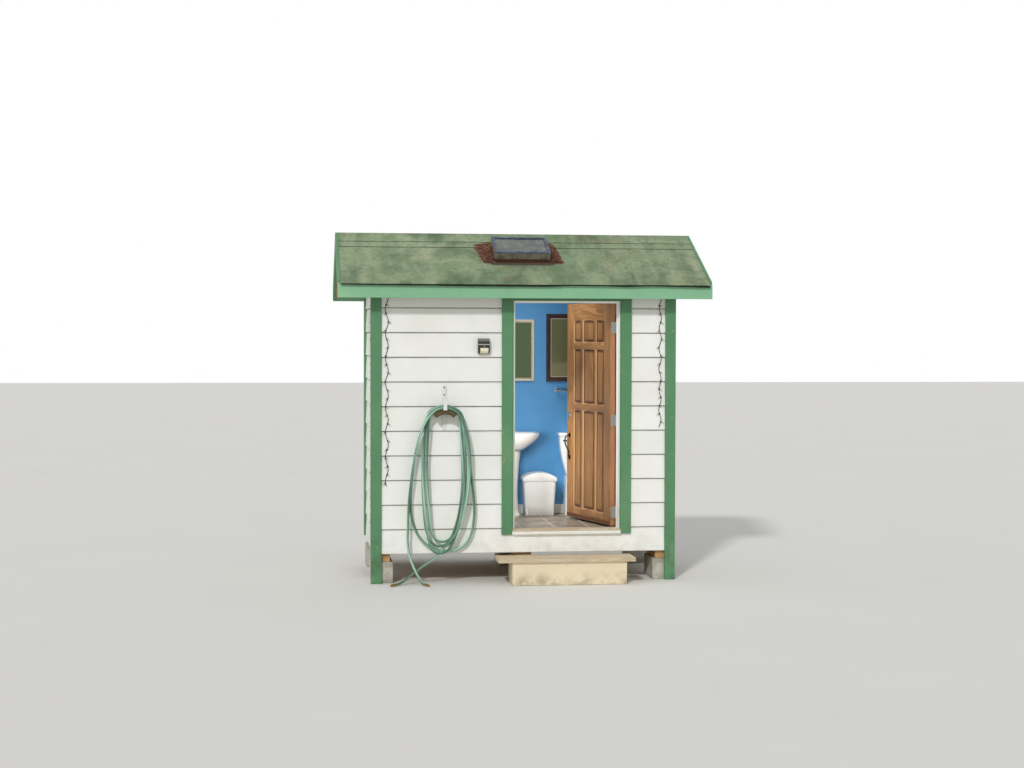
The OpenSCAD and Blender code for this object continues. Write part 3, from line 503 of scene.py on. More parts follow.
@dataclass(frozen=True)
class Timber:
    """Bare wood: early and late wood in bands, knots, checks and grey weathering."""

    name: str
    light: Colour
    dark: Colour
    grain: Axis | None = Axis.X
    weather: Colour = tone(150, 144, 132)
    grey: float = 0.3
    checks: float = 0.5
    rough: float = 0.75

    def dress(self) -> bpy.types.Material:
        """Makes the material; without a grain axis it follows the mesh's fibre attribute."""
        s = Surface(self.name)
        if self.grain is None:
            lie = s.mapped((0.07, 1.0, 1.0), at=s.mark("fibre"))
        else:
            lie = s.drawn(self.grain, 0.07)
        rings = s.noise(16.0, 3.0, 0.5, 1.2, lie)
        bands = (rings * 9.0).wrap().step(0.15, 0.85)
        fine = s.noise(190.0, 4.0, 0.65, 0.2, lie)
        split = s.noise(42.0, 5.0, 0.7, 0.6, lie)
        crack = split.step(0.66, 0.72) * self.checks
        colour = s.blend(bands * 0.55 + fine * 0.35, self.light, self.dark)
        weathered = s.noise(2.6, 5.0, 0.6).step(0.35, 0.75) * self.grey
        colour = s.blend(weathered, colour, self.weather)
        colour = s.blend(crack, colour, tuple(c * 0.25 for c in self.dark))
        colour = s.dim(colour, 0.88 + 0.24 * s.noise(3.1, 4.0, 0.6, 0.0, lie))
        height = bands * 0.25 + fine * 0.3 + (1.0 - crack) * 0.45
        return s.close(colour, self.rough + 0.15 * fine, height, 0.0012)


@dataclass(frozen=True)
class StainedDoor:
    """Stained softwood under worn varnish, darker where stain pools, with a painted highlight on the
    mouldings' upright slopes.
    """

    name: str = "door stain"
    light: Colour = tone(196, 143, 88)
    dark: Colour = tone(126, 86, 50)
    pooled: Colour = tone(84, 54, 32)
    worn: Colour = tone(204, 142, 106)
    # The painted highlight on the upright moulding slopes.
    moulded: Colour = tone(222, 178, 128)

    def dress(self) -> bpy.types.Material:
        """Makes the material."""
        s = Surface(self.name)
        lie = s.mapped((0.05, 1.0, 1.0), at=s.mark("fibre"))
        rings = s.noise(11.0, 3.0, 0.5, 1.6, lie)
        bands = (rings * 7.0).wrap().step(0.1, 0.9)
        fine = s.noise(230.0, 4.0, 0.7, 0.1, lie)
        colour = s.blend(bands * 0.5 + fine * 0.4, self.light, self.dark)
        colour = s.blend(s.noise(1.9, 5.0, 0.6, 0.4).step(0.4, 0.75) * 0.45, colour, self.dark)
        colour = s.blend(s.mark("pool", "Fac") * 0.85, colour, self.pooled)
        colour = s.blend(s.mark("wear", "Fac") * (0.5 + 0.4 * fine), colour, self.worn)
        # Painted highlight: the upright moulding slopes marked in "board" turn pale.
        colour = s.blend(s.mark("board", "Fac") * 0.9, colour, self.moulded)
        foot = s.foot(0.48, 0.72) * s.noise(12.0, 5.0, 0.7).step(0.35, 0.65)
        colour = s.blend(foot * 0.45, colour, self.pooled)
        coat = {"Coat_Weight": 0.12, "Coat_Roughness": 0.3}
        return s.close(colour, 0.36 + 0.3 * fine, bands * 0.3 + fine * 0.5, 0.0006, **coat)


@dataclass(frozen=True)
class Roofing:
    """Mineral-faced roll roofing: granules, lichen, brown stains, pale weathering, a painted sheen of light on
    the slopes' left half, and near-black edges: bitumen with painted shadow at the laps, painted shadow on the
    eave's lip.
    """

    name: str = "roll roofing"
    green: Colour = tone(142, 164, 128)
    deep: Colour = tone(84, 108, 82)
    pale: Colour = tone(182, 194, 158)
    lichen: Colour = tone(180, 178, 130)
    stain: Colour = tone(136, 112, 88)
    # Near black: painted shadow under the overhang on the eave's lip, and bitumen with painted shadow along
    # the laps' edges.
    tar_and_shadow: Colour = tone(16, 20, 13)

    def dress(self) -> bpy.types.Material:
        """Makes the material."""
        s = Surface(self.name)
        broad = s.noise(1.15, 5.0, 0.6, 0.5)
        middle = s.noise(4.2, 6.0, 0.66, 0.8)
        run = s.noise(5.0, 5.0, 0.6, 0.3, s.mapped((1.0, 0.25, 0.25)))
        grit = s.cells(620.0, output="Color")
        colour = s.blend(broad.step(0.36, 0.66), self.deep, self.green)
        colour = s.blend(run.step(0.4, 0.72) * 0.6, colour, self.pale)
        right = s.along(Axis.X).step(0.4, 1.6) * middle.step(0.3, 0.7)
        colour = s.blend(right * 0.55, colour, self.pale)
        # A painted sheen: a paler patch on the slopes' left half stands for light falling on the roofing.
        x = s.along(Axis.X) + 0.78
        painted_sheen = (1.0 - (x * x * 2.2).step(0.05, 0.8)) * s.noise(2.4, 4.0, 0.5, 0.6).step(0.4, 0.6)
        colour = s.blend(painted_sheen * 0.6, colour, self.pale)
        fine = s.noise(23.0, 6.0, 0.7, 0.4)
        colour = s.blend(fine.step(0.42, 0.66) * 0.4, colour, self.deep)
        colour = s.blend(middle.step(0.5, 0.7) * fine.step(0.46, 0.6) * 0.5, colour, self.lichen)
        patch = s.noise(1.9, 6.0, 0.7, 0.4, s.mapped((1, 1, 1), (7, 3, 1)))
        colour = s.blend(patch.step(0.54, 0.72) * 0.5, colour, self.stain)
        speck = s.node("ShaderNodeSeparateColor", None, {0: grit})
        colour = s.dim(colour, 0.78 + 0.4 * speck)
        # Rows marked "pool" turn near black: painted shadow on the eave's lip, bitumen with painted shadow at
        # the laps' edges.
        colour = s.blend(s.mark("pool", "Fac").step(0.25, 0.6) * 0.94, colour, self.tar_and_shadow)
        return s.close(colour, 0.9, speck * 0.6 + middle * 0.4, 0.0012, Specular_IOR_Level=0.25)


@dataclass(frozen=True)
class SkyMetal:
    """The skylight's metal: slate blue on top, dark olive brown and streaked on its edges."""

    name: str = "skylight metal"
    level: float = 0.103
    top: Colour = tone(58, 67, 92)
    shine: Colour = tone(100, 112, 134)
    edge: Colour = tone(128, 121, 104)
    dark: Colour = tone(84, 77, 62)

    def dress(self) -> bpy.types.Material:
        """Makes the material; what stands higher over the deck than the level is its top."""
        s = Surface(self.name)
        sine, cosine = math.sin(HUT.pitch), math.cos(HUT.pitch)
        ridge = HUT.slope(0.0, 0.0, 0.0)
        base = ridge.z * cosine - ridge.y * sine
        over = s.along(Axis.Z) * cosine - s.along(Axis.Y) * sine - base
        streak = s.noise(26.0, 5.0, 0.65, 0.4, s.drawn(Axis.Z, 0.12))
        side = s.blend(streak.step(0.35, 0.7), self.edge, self.dark)
        top = s.blend(s.noise(14.0, 5.0, 0.6, 0.5).step(0.4, 0.7), self.top, self.shine)
        colour = s.blend(over.step(self.level, self.level + 0.003), side, top)
        return s.close(colour, 0.38 + 0.3 * streak, s.noise(200.0, 3.0), 0.0003)


@dataclass(frozen=True)
class Litter:
    """Fallen needles, each of its own brown."""

    name: str = "pine needles"
    pale: Colour = tone(206, 172, 146)
    brown: Colour = tone(138, 96, 74)
    red: Colour = tone(112, 54, 42)

    def dress(self) -> bpy.types.Material:
        """Makes the material."""
        s = Surface(self.name)
        shade = s.mark("board", "Fac")
        colour = s.blend(shade.step(0.15, 0.55), self.red, self.brown)
        colour = s.blend(shade.step(0.62, 0.95), colour, self.pale)
        colour = s.dim(colour, 0.75 + 0.4 * s.noise(60.0, 3.0))
        return s.close(colour, 0.8, s.noise(500.0), 0.0002)


@dataclass(frozen=True)
class Concrete:
    """Cast concrete with pores, pale laitance and damp at the foot."""

    name: str = "footing concrete"
    light: Colour = tone(216, 212, 200)
    dark: Colour = tone(160, 155, 141)

    def dress(self) -> bpy.types.Material:
        """Makes the material."""
        s = Surface(self.name)
        clouds = s.noise(9.0, 6.0, 0.65)
        pores = s.cells(120.0).step(0.0, 0.22)
        colour = s.blend(clouds.step(0.3, 0.7), self.light, self.dark)
        colour = s.blend(s.foot(0.0, 0.07) * 0.5 * clouds, colour, tone(84, 84, 62))
        colour = s.dim(colour, 0.75 + 0.25 * pores)
        return s.close(colour, 0.92, pores * 0.5 + clouds * 0.3 + s.noise(400.0) * 0.2, 0.002)


@dataclass(frozen=True)
class FloorTile:
    """Glazed floor tiles with a slaty cloud."""

    name: str = "floor tile"
    light: Colour = tone(166, 156, 138)
    dark: Colour = tone(118, 108, 94)

    def dress(self) -> bpy.types.Material:
        """Makes the material."""
        s = Surface(self.name)
        clouds = s.noise(6.0, 6.0, 0.6, 0.8)
        colour = s.blend(clouds.step(0.3, 0.72), self.light, self.dark)
        colour = s.dim(colour, 0.9 + 0.2 * s.mark("board", "Fac"))
        worn = s.noise(21.0, 5.0).step(0.55, 0.75)
        colour = s.blend(worn * 0.3, colour, tone(92, 80, 62))
        return s.close(colour, 0.3 + 0.25 * clouds, clouds * 0.7 + s.noise(160.0) * 0.3, 0.0008)


@dataclass(frozen=True)
class RolledWall:
    """Interior paint put on with a roller; the walls' outer faces are white."""

    name: str = "blue lining"
    colour: Colour = tone(98, 164, 214)
    deep: Colour = tone(76, 142, 196)
    outer: Colour = tone(232, 232, 226)

    def dress(self) -> bpy.types.Material:
        """Makes the material."""
        s = Surface(self.name)
        colour = s.blend(s.noise(1.5, 3.0).step(0.35, 0.7) * 0.5, self.colour, self.deep)
        scuff = s.foot(0.5, 0.9) * s.noise(14.0, 6.0, 0.7).step(0.6, 0.75) * 0.25
        colour = s.blend(scuff, colour, tone(120, 130, 134))
        x, y = s.along(Axis.X), s.along(Axis.Y)
        ends = y.step(0.73, 0.74).most((0.0 - y).step(0.65, 0.66))
        outside = (x * x).step(1.66, 1.67).most(ends)
        colour = s.blend(outside, colour, self.outer)
        return s.close(colour, 0.5 + 0.15 * s.noise(30.0), s.noise(260.0, 3.0, 0.6), 0.0007)


@dataclass(frozen=True)
class Glaze:
    """Sanitary china: glossy, faintly uneven, with thin limescale low down."""

    name: str = "china"
    colour: Colour = tone(238, 238, 234)
    soil: Colour = tone(196, 186, 160)

    def dress(self) -> bpy.types.Material:
        """Makes the material."""
        s = Surface(self.name)
        film = s.noise(18.0, 5.0, 0.65).step(0.55, 0.85) * s.foot(0.5, 1.3) * 0.3
        colour = s.blend(film, self.colour, self.soil)
        coat = {"Coat_Weight": 0.5, "Coat_Roughness": 0.05}
        return s.close(colour, 0.1 + 0.25 * film, s.noise(9.0, 2.0), 0.0006, **coat)


@dataclass(frozen=True)
class Metal:
    """Metal with brushed or cast relief, dull patches and a second, tarnished colour."""

    name: str
    colour: Colour
    tarnish: Colour
    dull: float = 0.35
    rough: float = 0.25
    grit: float = 240.0

    def dress(self) -> bpy.types.Material:
        """Makes the material."""
        s = Surface(self.name)
        patch = s.noise(26.0, 6.0, 0.65).step(0.4, 0.75)
        colour = s.blend(patch * self.dull, self.colour, self.tarnish)
        rough = self.rough + 0.35 * self.dull * patch + 0.08 * s.noise(self.grit)
        return s.close(colour, rough, s.noise(self.grit, 3.0), 0.0002, Metallic=1.0)


@dataclass(frozen=True)
class PaintedMetal:
    """Enamel or powder coat on metal, with chips down to a primer or rust."""

    name: str
    colour: Colour
    under: Colour = tone(122, 84, 58)
    chips: float = 0.4
    rough: float = 0.4

    def dress(self) -> bpy.types.Material:
        """Makes the material."""
        s = Surface(self.name)
        chip = s.noise(60.0, 6.0, 0.7).step(0.76 - 0.1 * self.chips, 0.8 - 0.1 * self.chips)
        colour = s.dim(s.blend(chip, self.colour, self.under), 0.9 + 0.2 * s.noise(12.0))
        height = 1.0 - chip + 0.2 * s.noise(300.0)
        return s.close(colour, self.rough + 0.4 * chip, height, 0.0004)


@dataclass(frozen=True)
class Moulded:
    """Moulded plastic or rubber: fine texture, soft dust and scuffs."""

    name: str
    colour: Colour
    dust: Colour
    dusty: float = 0.3
    rough: float = 0.45
    grit: float = 700.0

    def dress(self) -> bpy.types.Material:
        """Makes the material."""
        s = Surface(self.name)
        cloud = s.noise(8.0, 6.0, 0.65).step(0.4, 0.78) * self.dusty
        scratch = s.noise(70.0, 4.0, 0.7, 1.5, s.drawn(Axis.X, 0.15)).step(0.66, 0.72) * 0.25
        colour = s.blend(cloud.most(scratch), self.colour, self.dust)
        return s.close(colour, self.rough + 0.3 * cloud, s.noise(self.grit, 3.0), 0.0003)


@dataclass(frozen=True)
class Hose:
    """Hose rubber with a pale bloom, and pale and dark bands that twist round it: painted highlight and
    painted shade for its lit and shaded sides.

    The twists are the turns that the bands make over the whole length.
    """

    name: str = "hose"
    colour: Colour = tone(104, 146, 122)
    # Pale: the rubber's bloom, and also the painted highlight of the pale band.
    bloom: Colour = tone(178, 218, 196)
    shade: Colour = tone(70, 104, 84)
    dirt: Colour = tone(84, 96, 72)
    twists: float = 12.7

    def dress(self) -> bpy.types.Material:
        """Makes the material; the curve's own UV runs along it and round it."""
        s = Surface(self.name)
        uv = s.node("ShaderNodeTexCoord", output="UV")
        turn = (s.along(Axis.Y, uv) + s.along(Axis.X, uv) * self.twists).wrap()
        # Painted highlight and painted shade: the pale band stands for the lit side, the dark band for the
        # shaded side.
        pale = turn.step(0.06, 0.2) * (1.0 - turn.step(0.3, 0.44))
        dark = turn.step(0.56, 0.68) * (1.0 - turn.step(0.8, 0.92))
        cloud = s.noise(7.0, 6.0, 0.65).step(0.32, 0.72)
        colour = s.blend(cloud * 0.25, self.colour, self.bloom)
        colour = s.blend(pale * 0.85, colour, self.bloom)
        colour = s.blend(dark * 0.8, colour, self.shade)
        soiled = s.foot(0.0, 0.16) * s.noise(30.0, 5.0).step(0.35, 0.65)
        colour = s.blend(soiled * 0.6, colour, self.dirt)
        return s.close(colour, 0.42 + 0.25 * cloud, s.noise(420.0, 3.0), 0.0003)


@dataclass(frozen=True)
class Pane:
    """Glass that lets light through, with dust on it."""

    name: str
    colour: Colour
    clear: float = 0.9

    def dress(self) -> bpy.types.Material:
        """Makes the material."""
        s = Surface(self.name)
        film = s.noise(11.0, 6.0, 0.6).step(0.35, 0.75)
        colour = s.blend(film * 0.35, self.colour, tone(206, 206, 190))
        clear = {"Transmission_Weight": self.clear, "IOR": 1.45}
        return s.close(colour, 0.06 + 0.2 * film, s.noise(3.0, 2.0), 0.0004, **clear)


@dataclass(frozen=True)
class Silvering:
    """The mirror's silvered glass, foxed near its edges; its dark grey green is a painted reflection of
    greenery.
    """

    name: str = "mirror glass"

    def dress(self) -> bpy.types.Material:
        """Makes the material."""
        s = Surface(self.name)
        fox = s.noise(40.0, 6.0, 0.7).step(0.7, 0.82)
        # Painted reflection: the glass's dark grey green stands for the greenery that the mirror shows.
        colour = s.blend(fox, tone(84, 98, 74), tone(70, 70, 54))
        return s.close(colour, 0.03 + 0.3 * fox, Metallic=1.0)


@dataclass(frozen=True)
class PaintedSheet:
    """The picture's sheet: a plain mat round soft olive washes and a pale jug shape."""

    name: str = "picture sheet"
    middle: Point = (0.745, 0.0, 2.085)

    def dress(self) -> bpy.types.Material:
        """Makes the material."""
        s = Surface(self.name)
        x = s.along(Axis.X) - self.middle[0]
        z = s.along(Axis.Z) - self.middle[2]
        washes = s.noise(3.0, 5.0, 0.6, 1.0)
        colour = s.blend(washes, tone(130, 128, 92), tone(100, 99, 68))
        leaves = s.noise(9.0, 4.0, 0.6, 2.0).step(0.55, 0.7)
        colour = s.blend(leaves * 0.5, colour, tone(94, 102, 68))
        ground = 1.0 - z.step(-0.17, -0.13)
        colour = s.blend(ground * 0.6, colour, tone(150, 140, 104))
        wide = (x * x) / 0.0036 + ((z + 0.09) * (z + 0.09)) / 0.0064
        colour = s.blend((1.0 - wide.step(0.8, 1.1)) * 0.8, colour, tone(150, 170, 176))
        edge = (x * x).step(0.0869, 0.0873).most((z * z).step(0.0783, 0.0787))
        colour = s.blend(edge, colour, tone(206, 200, 170))
        return s.close(colour, 0.6, s.noise(300.0), 0.0002)


# --- Making pieces ----------------------------------------------------------------------------


def spot(axis: Axis, along: float, first: float, second: float) -> Vector:
    """A point from its place along an axis and its two places across it.

    Args:
        axis: the axis.
        along: the place along it.
        first, second: the places along the other two axes, in X, Y, Z order.

    Returns:
        The point.
    """
    rest = [first, second]
    rest.insert(axis.value, along)
    return Vector(rest)


def sway(place: float, seed: float, size: float, wave: float = 1.6) -> float:
    """A slow, repeatable waver along a board.

    Args:
        place: the place along it.
        seed: which board.
        size: the waver's size.
        wave: its waves per metre.

    Returns:
        The offset.
    """
    return size * noise.noise(Vector((place * wave, seed * 3.17, 0.4)))


def spaced(start: float, end: float, step: float) -> list[float]:
    """Even stops from start to end, about step apart."""
    count = max(1, round(abs(end - start) / step))
    return [start + (end - start) * i / count for i in range(count + 1)]


def smooth_path(points: Sequence[Vector], step: float) -> list[Vector]:
    """A smooth line through points.

    Args:
        points: the points that it passes through.
        step: the distance between the points that come back.

    Returns:
        The line's points.
    """
    ends = [2 * points[0] - points[1], *points, 2 * points[-1] - points[-2]]
    line = [points[0].copy()]
    for a, b, c, d in zip(ends, ends[1:], ends[2:], ends[3:]):
        count = max(2, round((c - b).length / step))
        for i in range(1, count + 1):
            t = i / count
            bend, twist = 2 * a - 5 * b + 4 * c - d, 3 * b - a - 3 * c + d
            line.append(0.5 * (2 * b + (c - a) * t + bend * t**2 + twist * t**3))
    return line


def oval(
    width: float, front: float, back: float, square: float = 2.0, count: int = 48
) -> list[tuple[float, float]]:
    """A rounded outline whose front and back differ.

    Args:
        width: half its width.
        front, back: its reach towards -Y and +Y.
        square: 2 for an ellipse, more for squarer corners.
        count: its points.

    Returns:
        The outline in X and Y.
    """
    made = []
    for step in wheel(count):
        x, y = (math.copysign(abs(v) ** (2 / square), v) for v in step)
        made.append((width * x, y * (back if y > 0 else front)))
    return made


class Form:
    """A piece's points and faces while it is drawn, in the frame's metres."""

    def __init__(self, seed: int = 1) -> None:
        """Starts empty, with a seed for what differs from board to board."""
        self.bm = bmesh.new()
        self.fibre = self.bm.verts.layers.float_vector.new("fibre")
        self.marks = {name: self.bm.verts.layers.float.new(name) for name in ("board", "wear", "pool")}
        self.dice = random.Random(seed)

    def loft(
        self, rings: Sequence[Sequence[Vector]], cyclic: bool = False
    ) -> list[list[bmesh.types.BMVert]]:
        """Joins rings of points into a closed skin.

        Args:
            rings: the rings, with as many points each.
            cyclic: whether the last joins the first; if not, both are closed by a face.

        Returns:
            The rings' vertices, ring by ring.
        """
        rows = [[self.bm.verts.new(p) for p in ring] for ring in rings]
        count = len(rows[0])
        for a, b in list(zip(rows, rows[1:])) + ([(rows[-1], rows[0])] if cyclic else []):
            for i in range(count):
                j = (i + 1) % count
                self.bm.faces.new((a[i], a[j], b[j], b[i]))
        if not cyclic:
            self.bm.faces.new(rows[0][::-1])
            self.bm.faces.new(rows[-1])
        return rows

    def prism(
        self,
        outline: Callable[[float], Outline] | Outline,
        axis: Axis,
        stops: Sequence[float],
    ) -> "Form":
        """Runs an outline along an axis, as one board.

        Args:
            outline: its points across the axis, or a function that gives them at a stop.
            axis: the direction it runs in.
            stops: where its rings stand.

        Returns:
            This form.
        """
        seed = self.dice.random() * 40
        rings = []
        for stop in stops:
            shape = outline(stop) if callable(outline) else outline
            rings.append([spot(axis, stop, a, b) for a, b in shape])
        shade = self.dice.random()
        for row, stop in zip(self.loft(rings), stops):
            for v in row:
                across = [c for k, c in enumerate(v.co) if k != axis.value]
                v[self.fibre] = Vector((stop + seed, across[0] + seed, across[1] + seed * 0.3))
                v[self.marks["board"]] = shade
        return self

    def slab(self, low: Point, high: Point, grain: Axis = Axis.X, step: float = 0.25) -> "Form":
        """A straight board between two corners.

        Args:
            low, high: its opposite corners.
            grain: the axis that it runs along.
            step: the length of its pieces.

        Returns:
            The form.
        """
        across = [k for k in range(3) if k != grain.value]
        (a0, a1), (b0, b1) = ((low[k], high[k]) for k in across)
        square = [(a0, b0), (a1, b0), (a1, b1), (a0, b1)]
        return self.prism(square, grain, spaced(low[grain.value], high[grain.value], step))

    def tube(
        self, points: Sequence[Vector], radius: float | Callable[[float], float], sides: int = 12
    ) -> "Form":
        """A round rod along points.

        Args:
            points: its middle line.
            radius: its radius, or a function that gives it at a share of the way along.
            sides: how many sides it has.

        Returns:
            The form.
        """
        rings, side = [], None
        for i, p in enumerate(points):
            way = (points[min(i + 1, len(points) - 1)] - points[max(i - 1, 0)]).normalized()
            if side is None:
                side = way.orthogonal().normalized()
            side = (side - way * side.dot(way)).normalized()
            up = way.cross(side)
            r = radius(i / (len(points) - 1)) if callable(radius) else radius
            rings.append([p + r * (c * side + s * up) for c, s in wheel(sides)])
        self.loft(rings)
        return self

    def turned(
        self, outline: Outline, middle: Point, way: Point = (0, 0, 1), sides: int = 32
    ) -> "Form":
        """A lathe-turned shape.

        Args:
            outline: its radius and its place along the axis, from one end to the other.
            middle: the axis's start.
            way: the axis's direction.
            sides: how many flats it has.

        Returns:
            This form.
        """
        turn = Vector(way).to_track_quat("Z", "Y")
        rings = [
            [Vector(middle) + turn @ Vector((r * c, r * s, h)) for c, s in wheel(sides)]
            for r, h in ((max(r, 1e-4), h) for r, h in outline)
        ]
        self.loft(rings)
        return self

    def stack(self, layers: Iterable[tuple[float, Outline]], middle: Point) -> "Form":
        """Outlines in X and Y at heights over a middle, skinned in order."""
        at = Vector(middle)
        self.loft([[at + Vector((x, y, z)) for x, y in outline] for z, outline in layers])
        return self

    def cut(self, point: Point, normal: Point) -> "Form":
        """Cuts away what lies on the normal's side of a plane, and closes the cut."""
        every = [*self.bm.verts, *self.bm.edges, *self.bm.faces]
        plane = {"plane_co": point, "plane_no": normal, "dist": 1e-6}
        bmesh.ops.bisect_plane(self.bm, geom=every, clear_outer=True, **plane)
        bmesh.ops.holes_fill(self.bm, edges=[e for e in self.bm.edges if e.is_boundary], sides=0)
        return self

    def move(self, matrix: Matrix) -> "Form":
        """Moves everything drawn so far."""
        self.bm.transform(matrix)
        return self


class Workshop:
    """Makes each finish once, and sets finished pieces on their bodies."""

    def __init__(self) -> None:
        """Starts with no finish made."""
        self.finishes: dict[object, bpy.types.Material] = {}

    def coat(self, finish: object) -> bpy.types.Material:
        """The finish's material, made when it is first asked for."""
        if finish not in self.finishes:
            self.finishes[finish] = finish.dress()
        return self.finishes[finish]

    def paint(self, finish: object, *nodes: str) -> None:
        """Gives carried-over CAD nodes a finish."""
        for node in nodes:
            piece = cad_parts[node]
            piece.data.materials.clear()
            piece.data.materials.append(self.coat(finish))
            log.info("%s: painted", node)

    def set_down(
        self,
        name: str,
        made: Form | bpy.types.Object,
        finish: object,
        slot: str,
        body: Body = Body.HUT,
        replaces: Sequence[str] = (),
        bevel: float = 0.0,
        angle: float = 38.0,
    ) -> bpy.types.Object:
        """Finishes a piece.

        Args:
            name: its name.
            made: its form, or an object that holds a plain mesh already.
            finish: its finish, or None where its mesh has one.
            slot: the record's material slot; not used.
            body: the body it rides on.
            replaces: the CAD nodes that it stands for.
            bevel: the width of its worn edges.
            angle: edges sharper than this stay sharp, in degrees.

        Returns:
            The piece.
        """
        if isinstance(made, Form):
            bmesh.ops.recalc_face_normals(made.bm, faces=made.bm.faces)
            mesh = bpy.data.meshes.new(name)
            made.bm.to_mesh(mesh)
            made.bm.free()
            piece = bpy.data.objects.new(name, mesh)
            bpy.context.scene.collection.objects.link(piece)
        else:
            piece, mesh = made, made.data
        if finish is not None:
            mesh.materials.clear()
            mesh.materials.append(self.coat(finish))
        if mesh.polygons:
            mesh.polygons.foreach_set("use_smooth", [True] * len(mesh.polygons))
            mesh.set_sharp_from_angle(angle=math.radians(angle))
        if bevel:
            edge = piece.modifiers.new("worn edges", "BEVEL")
            edge.width, edge.segments, edge.limit_method = bevel, 2, "ANGLE"
            edge.angle_limit, edge.harden_normals = math.radians(angle), True
        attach(piece, body.value)
        if replaces:
            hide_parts(*replaces)
        log.info("%s: %d faces", name, len(mesh.polygons))
        return piece

    def copy(self, *nodes: str) -> Form:
        """A form with the merged meshes of CAD nodes."""
        form = Form()
        for node in nodes:
            form.bm.from_mesh(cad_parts[node].data)
        bm = form.bm
        bmesh.ops.remove_doubles(bm, verts=bm.verts, dist=1e-5)
        flat = {"angle_limit": math.radians(0.6), "delimit": {"NORMAL"}}
        bmesh.ops.dissolve_limit(bm, verts=bm.verts, edges=bm.edges, **flat)
        return form

    def dressed(self, node: str, finish: object, slot: str, bevel: float) -> bpy.types.Object:
        """A CAD node's shape again, with eased edges and a finish."""
        made = self.copy(node)
        return self.set_down(f"{node}_dressed", made, finish, slot, Body.HUT, [node], bevel)

    def fixings(
        self,
        name: str,
        points: Sequence[tuple[Point, Point]],
        finish: object,
        slot: str,
        radius: float,
        proud: float,
    ) -> bpy.types.Object:
        """Nail or screw heads.

        Args:
            name: the piece's name.
            points: where each head is, and the way that it faces.
            finish: the heads' finish.
            slot: the record's material slot.
            radius: a head's radius.
            proud: how far a head stands out.

        Returns:
            The piece with all heads.
        """
        bed = seedbed(name, (place for place, _ in points), "facing", (way for _, way in points))
        rule = Rule(name, Radius=radius, Proud=proud)
        wide = rule.size("Radius")
        sizes = {"Radius Top": wide * 0.72, "Radius Bottom": wide, "Depth": rule.size("Proud")}
        head = rule.node("GeometryNodeMeshCone", None, {"Vertices": 10, **sizes})
        spread = {"Rotation": rule.aim(), "Scale": rule.chance(0.85, 1.1)}
        heads = rule.real(rule.scatter(rule.size("Geometry"), head, **spread))
        piece = rule.grow(name, rule.coat(heads, self.coat(finish)), bed)
        return self.set_down(name, piece, None, slot)


# --- The view ---------------------------------------------------------------------------------


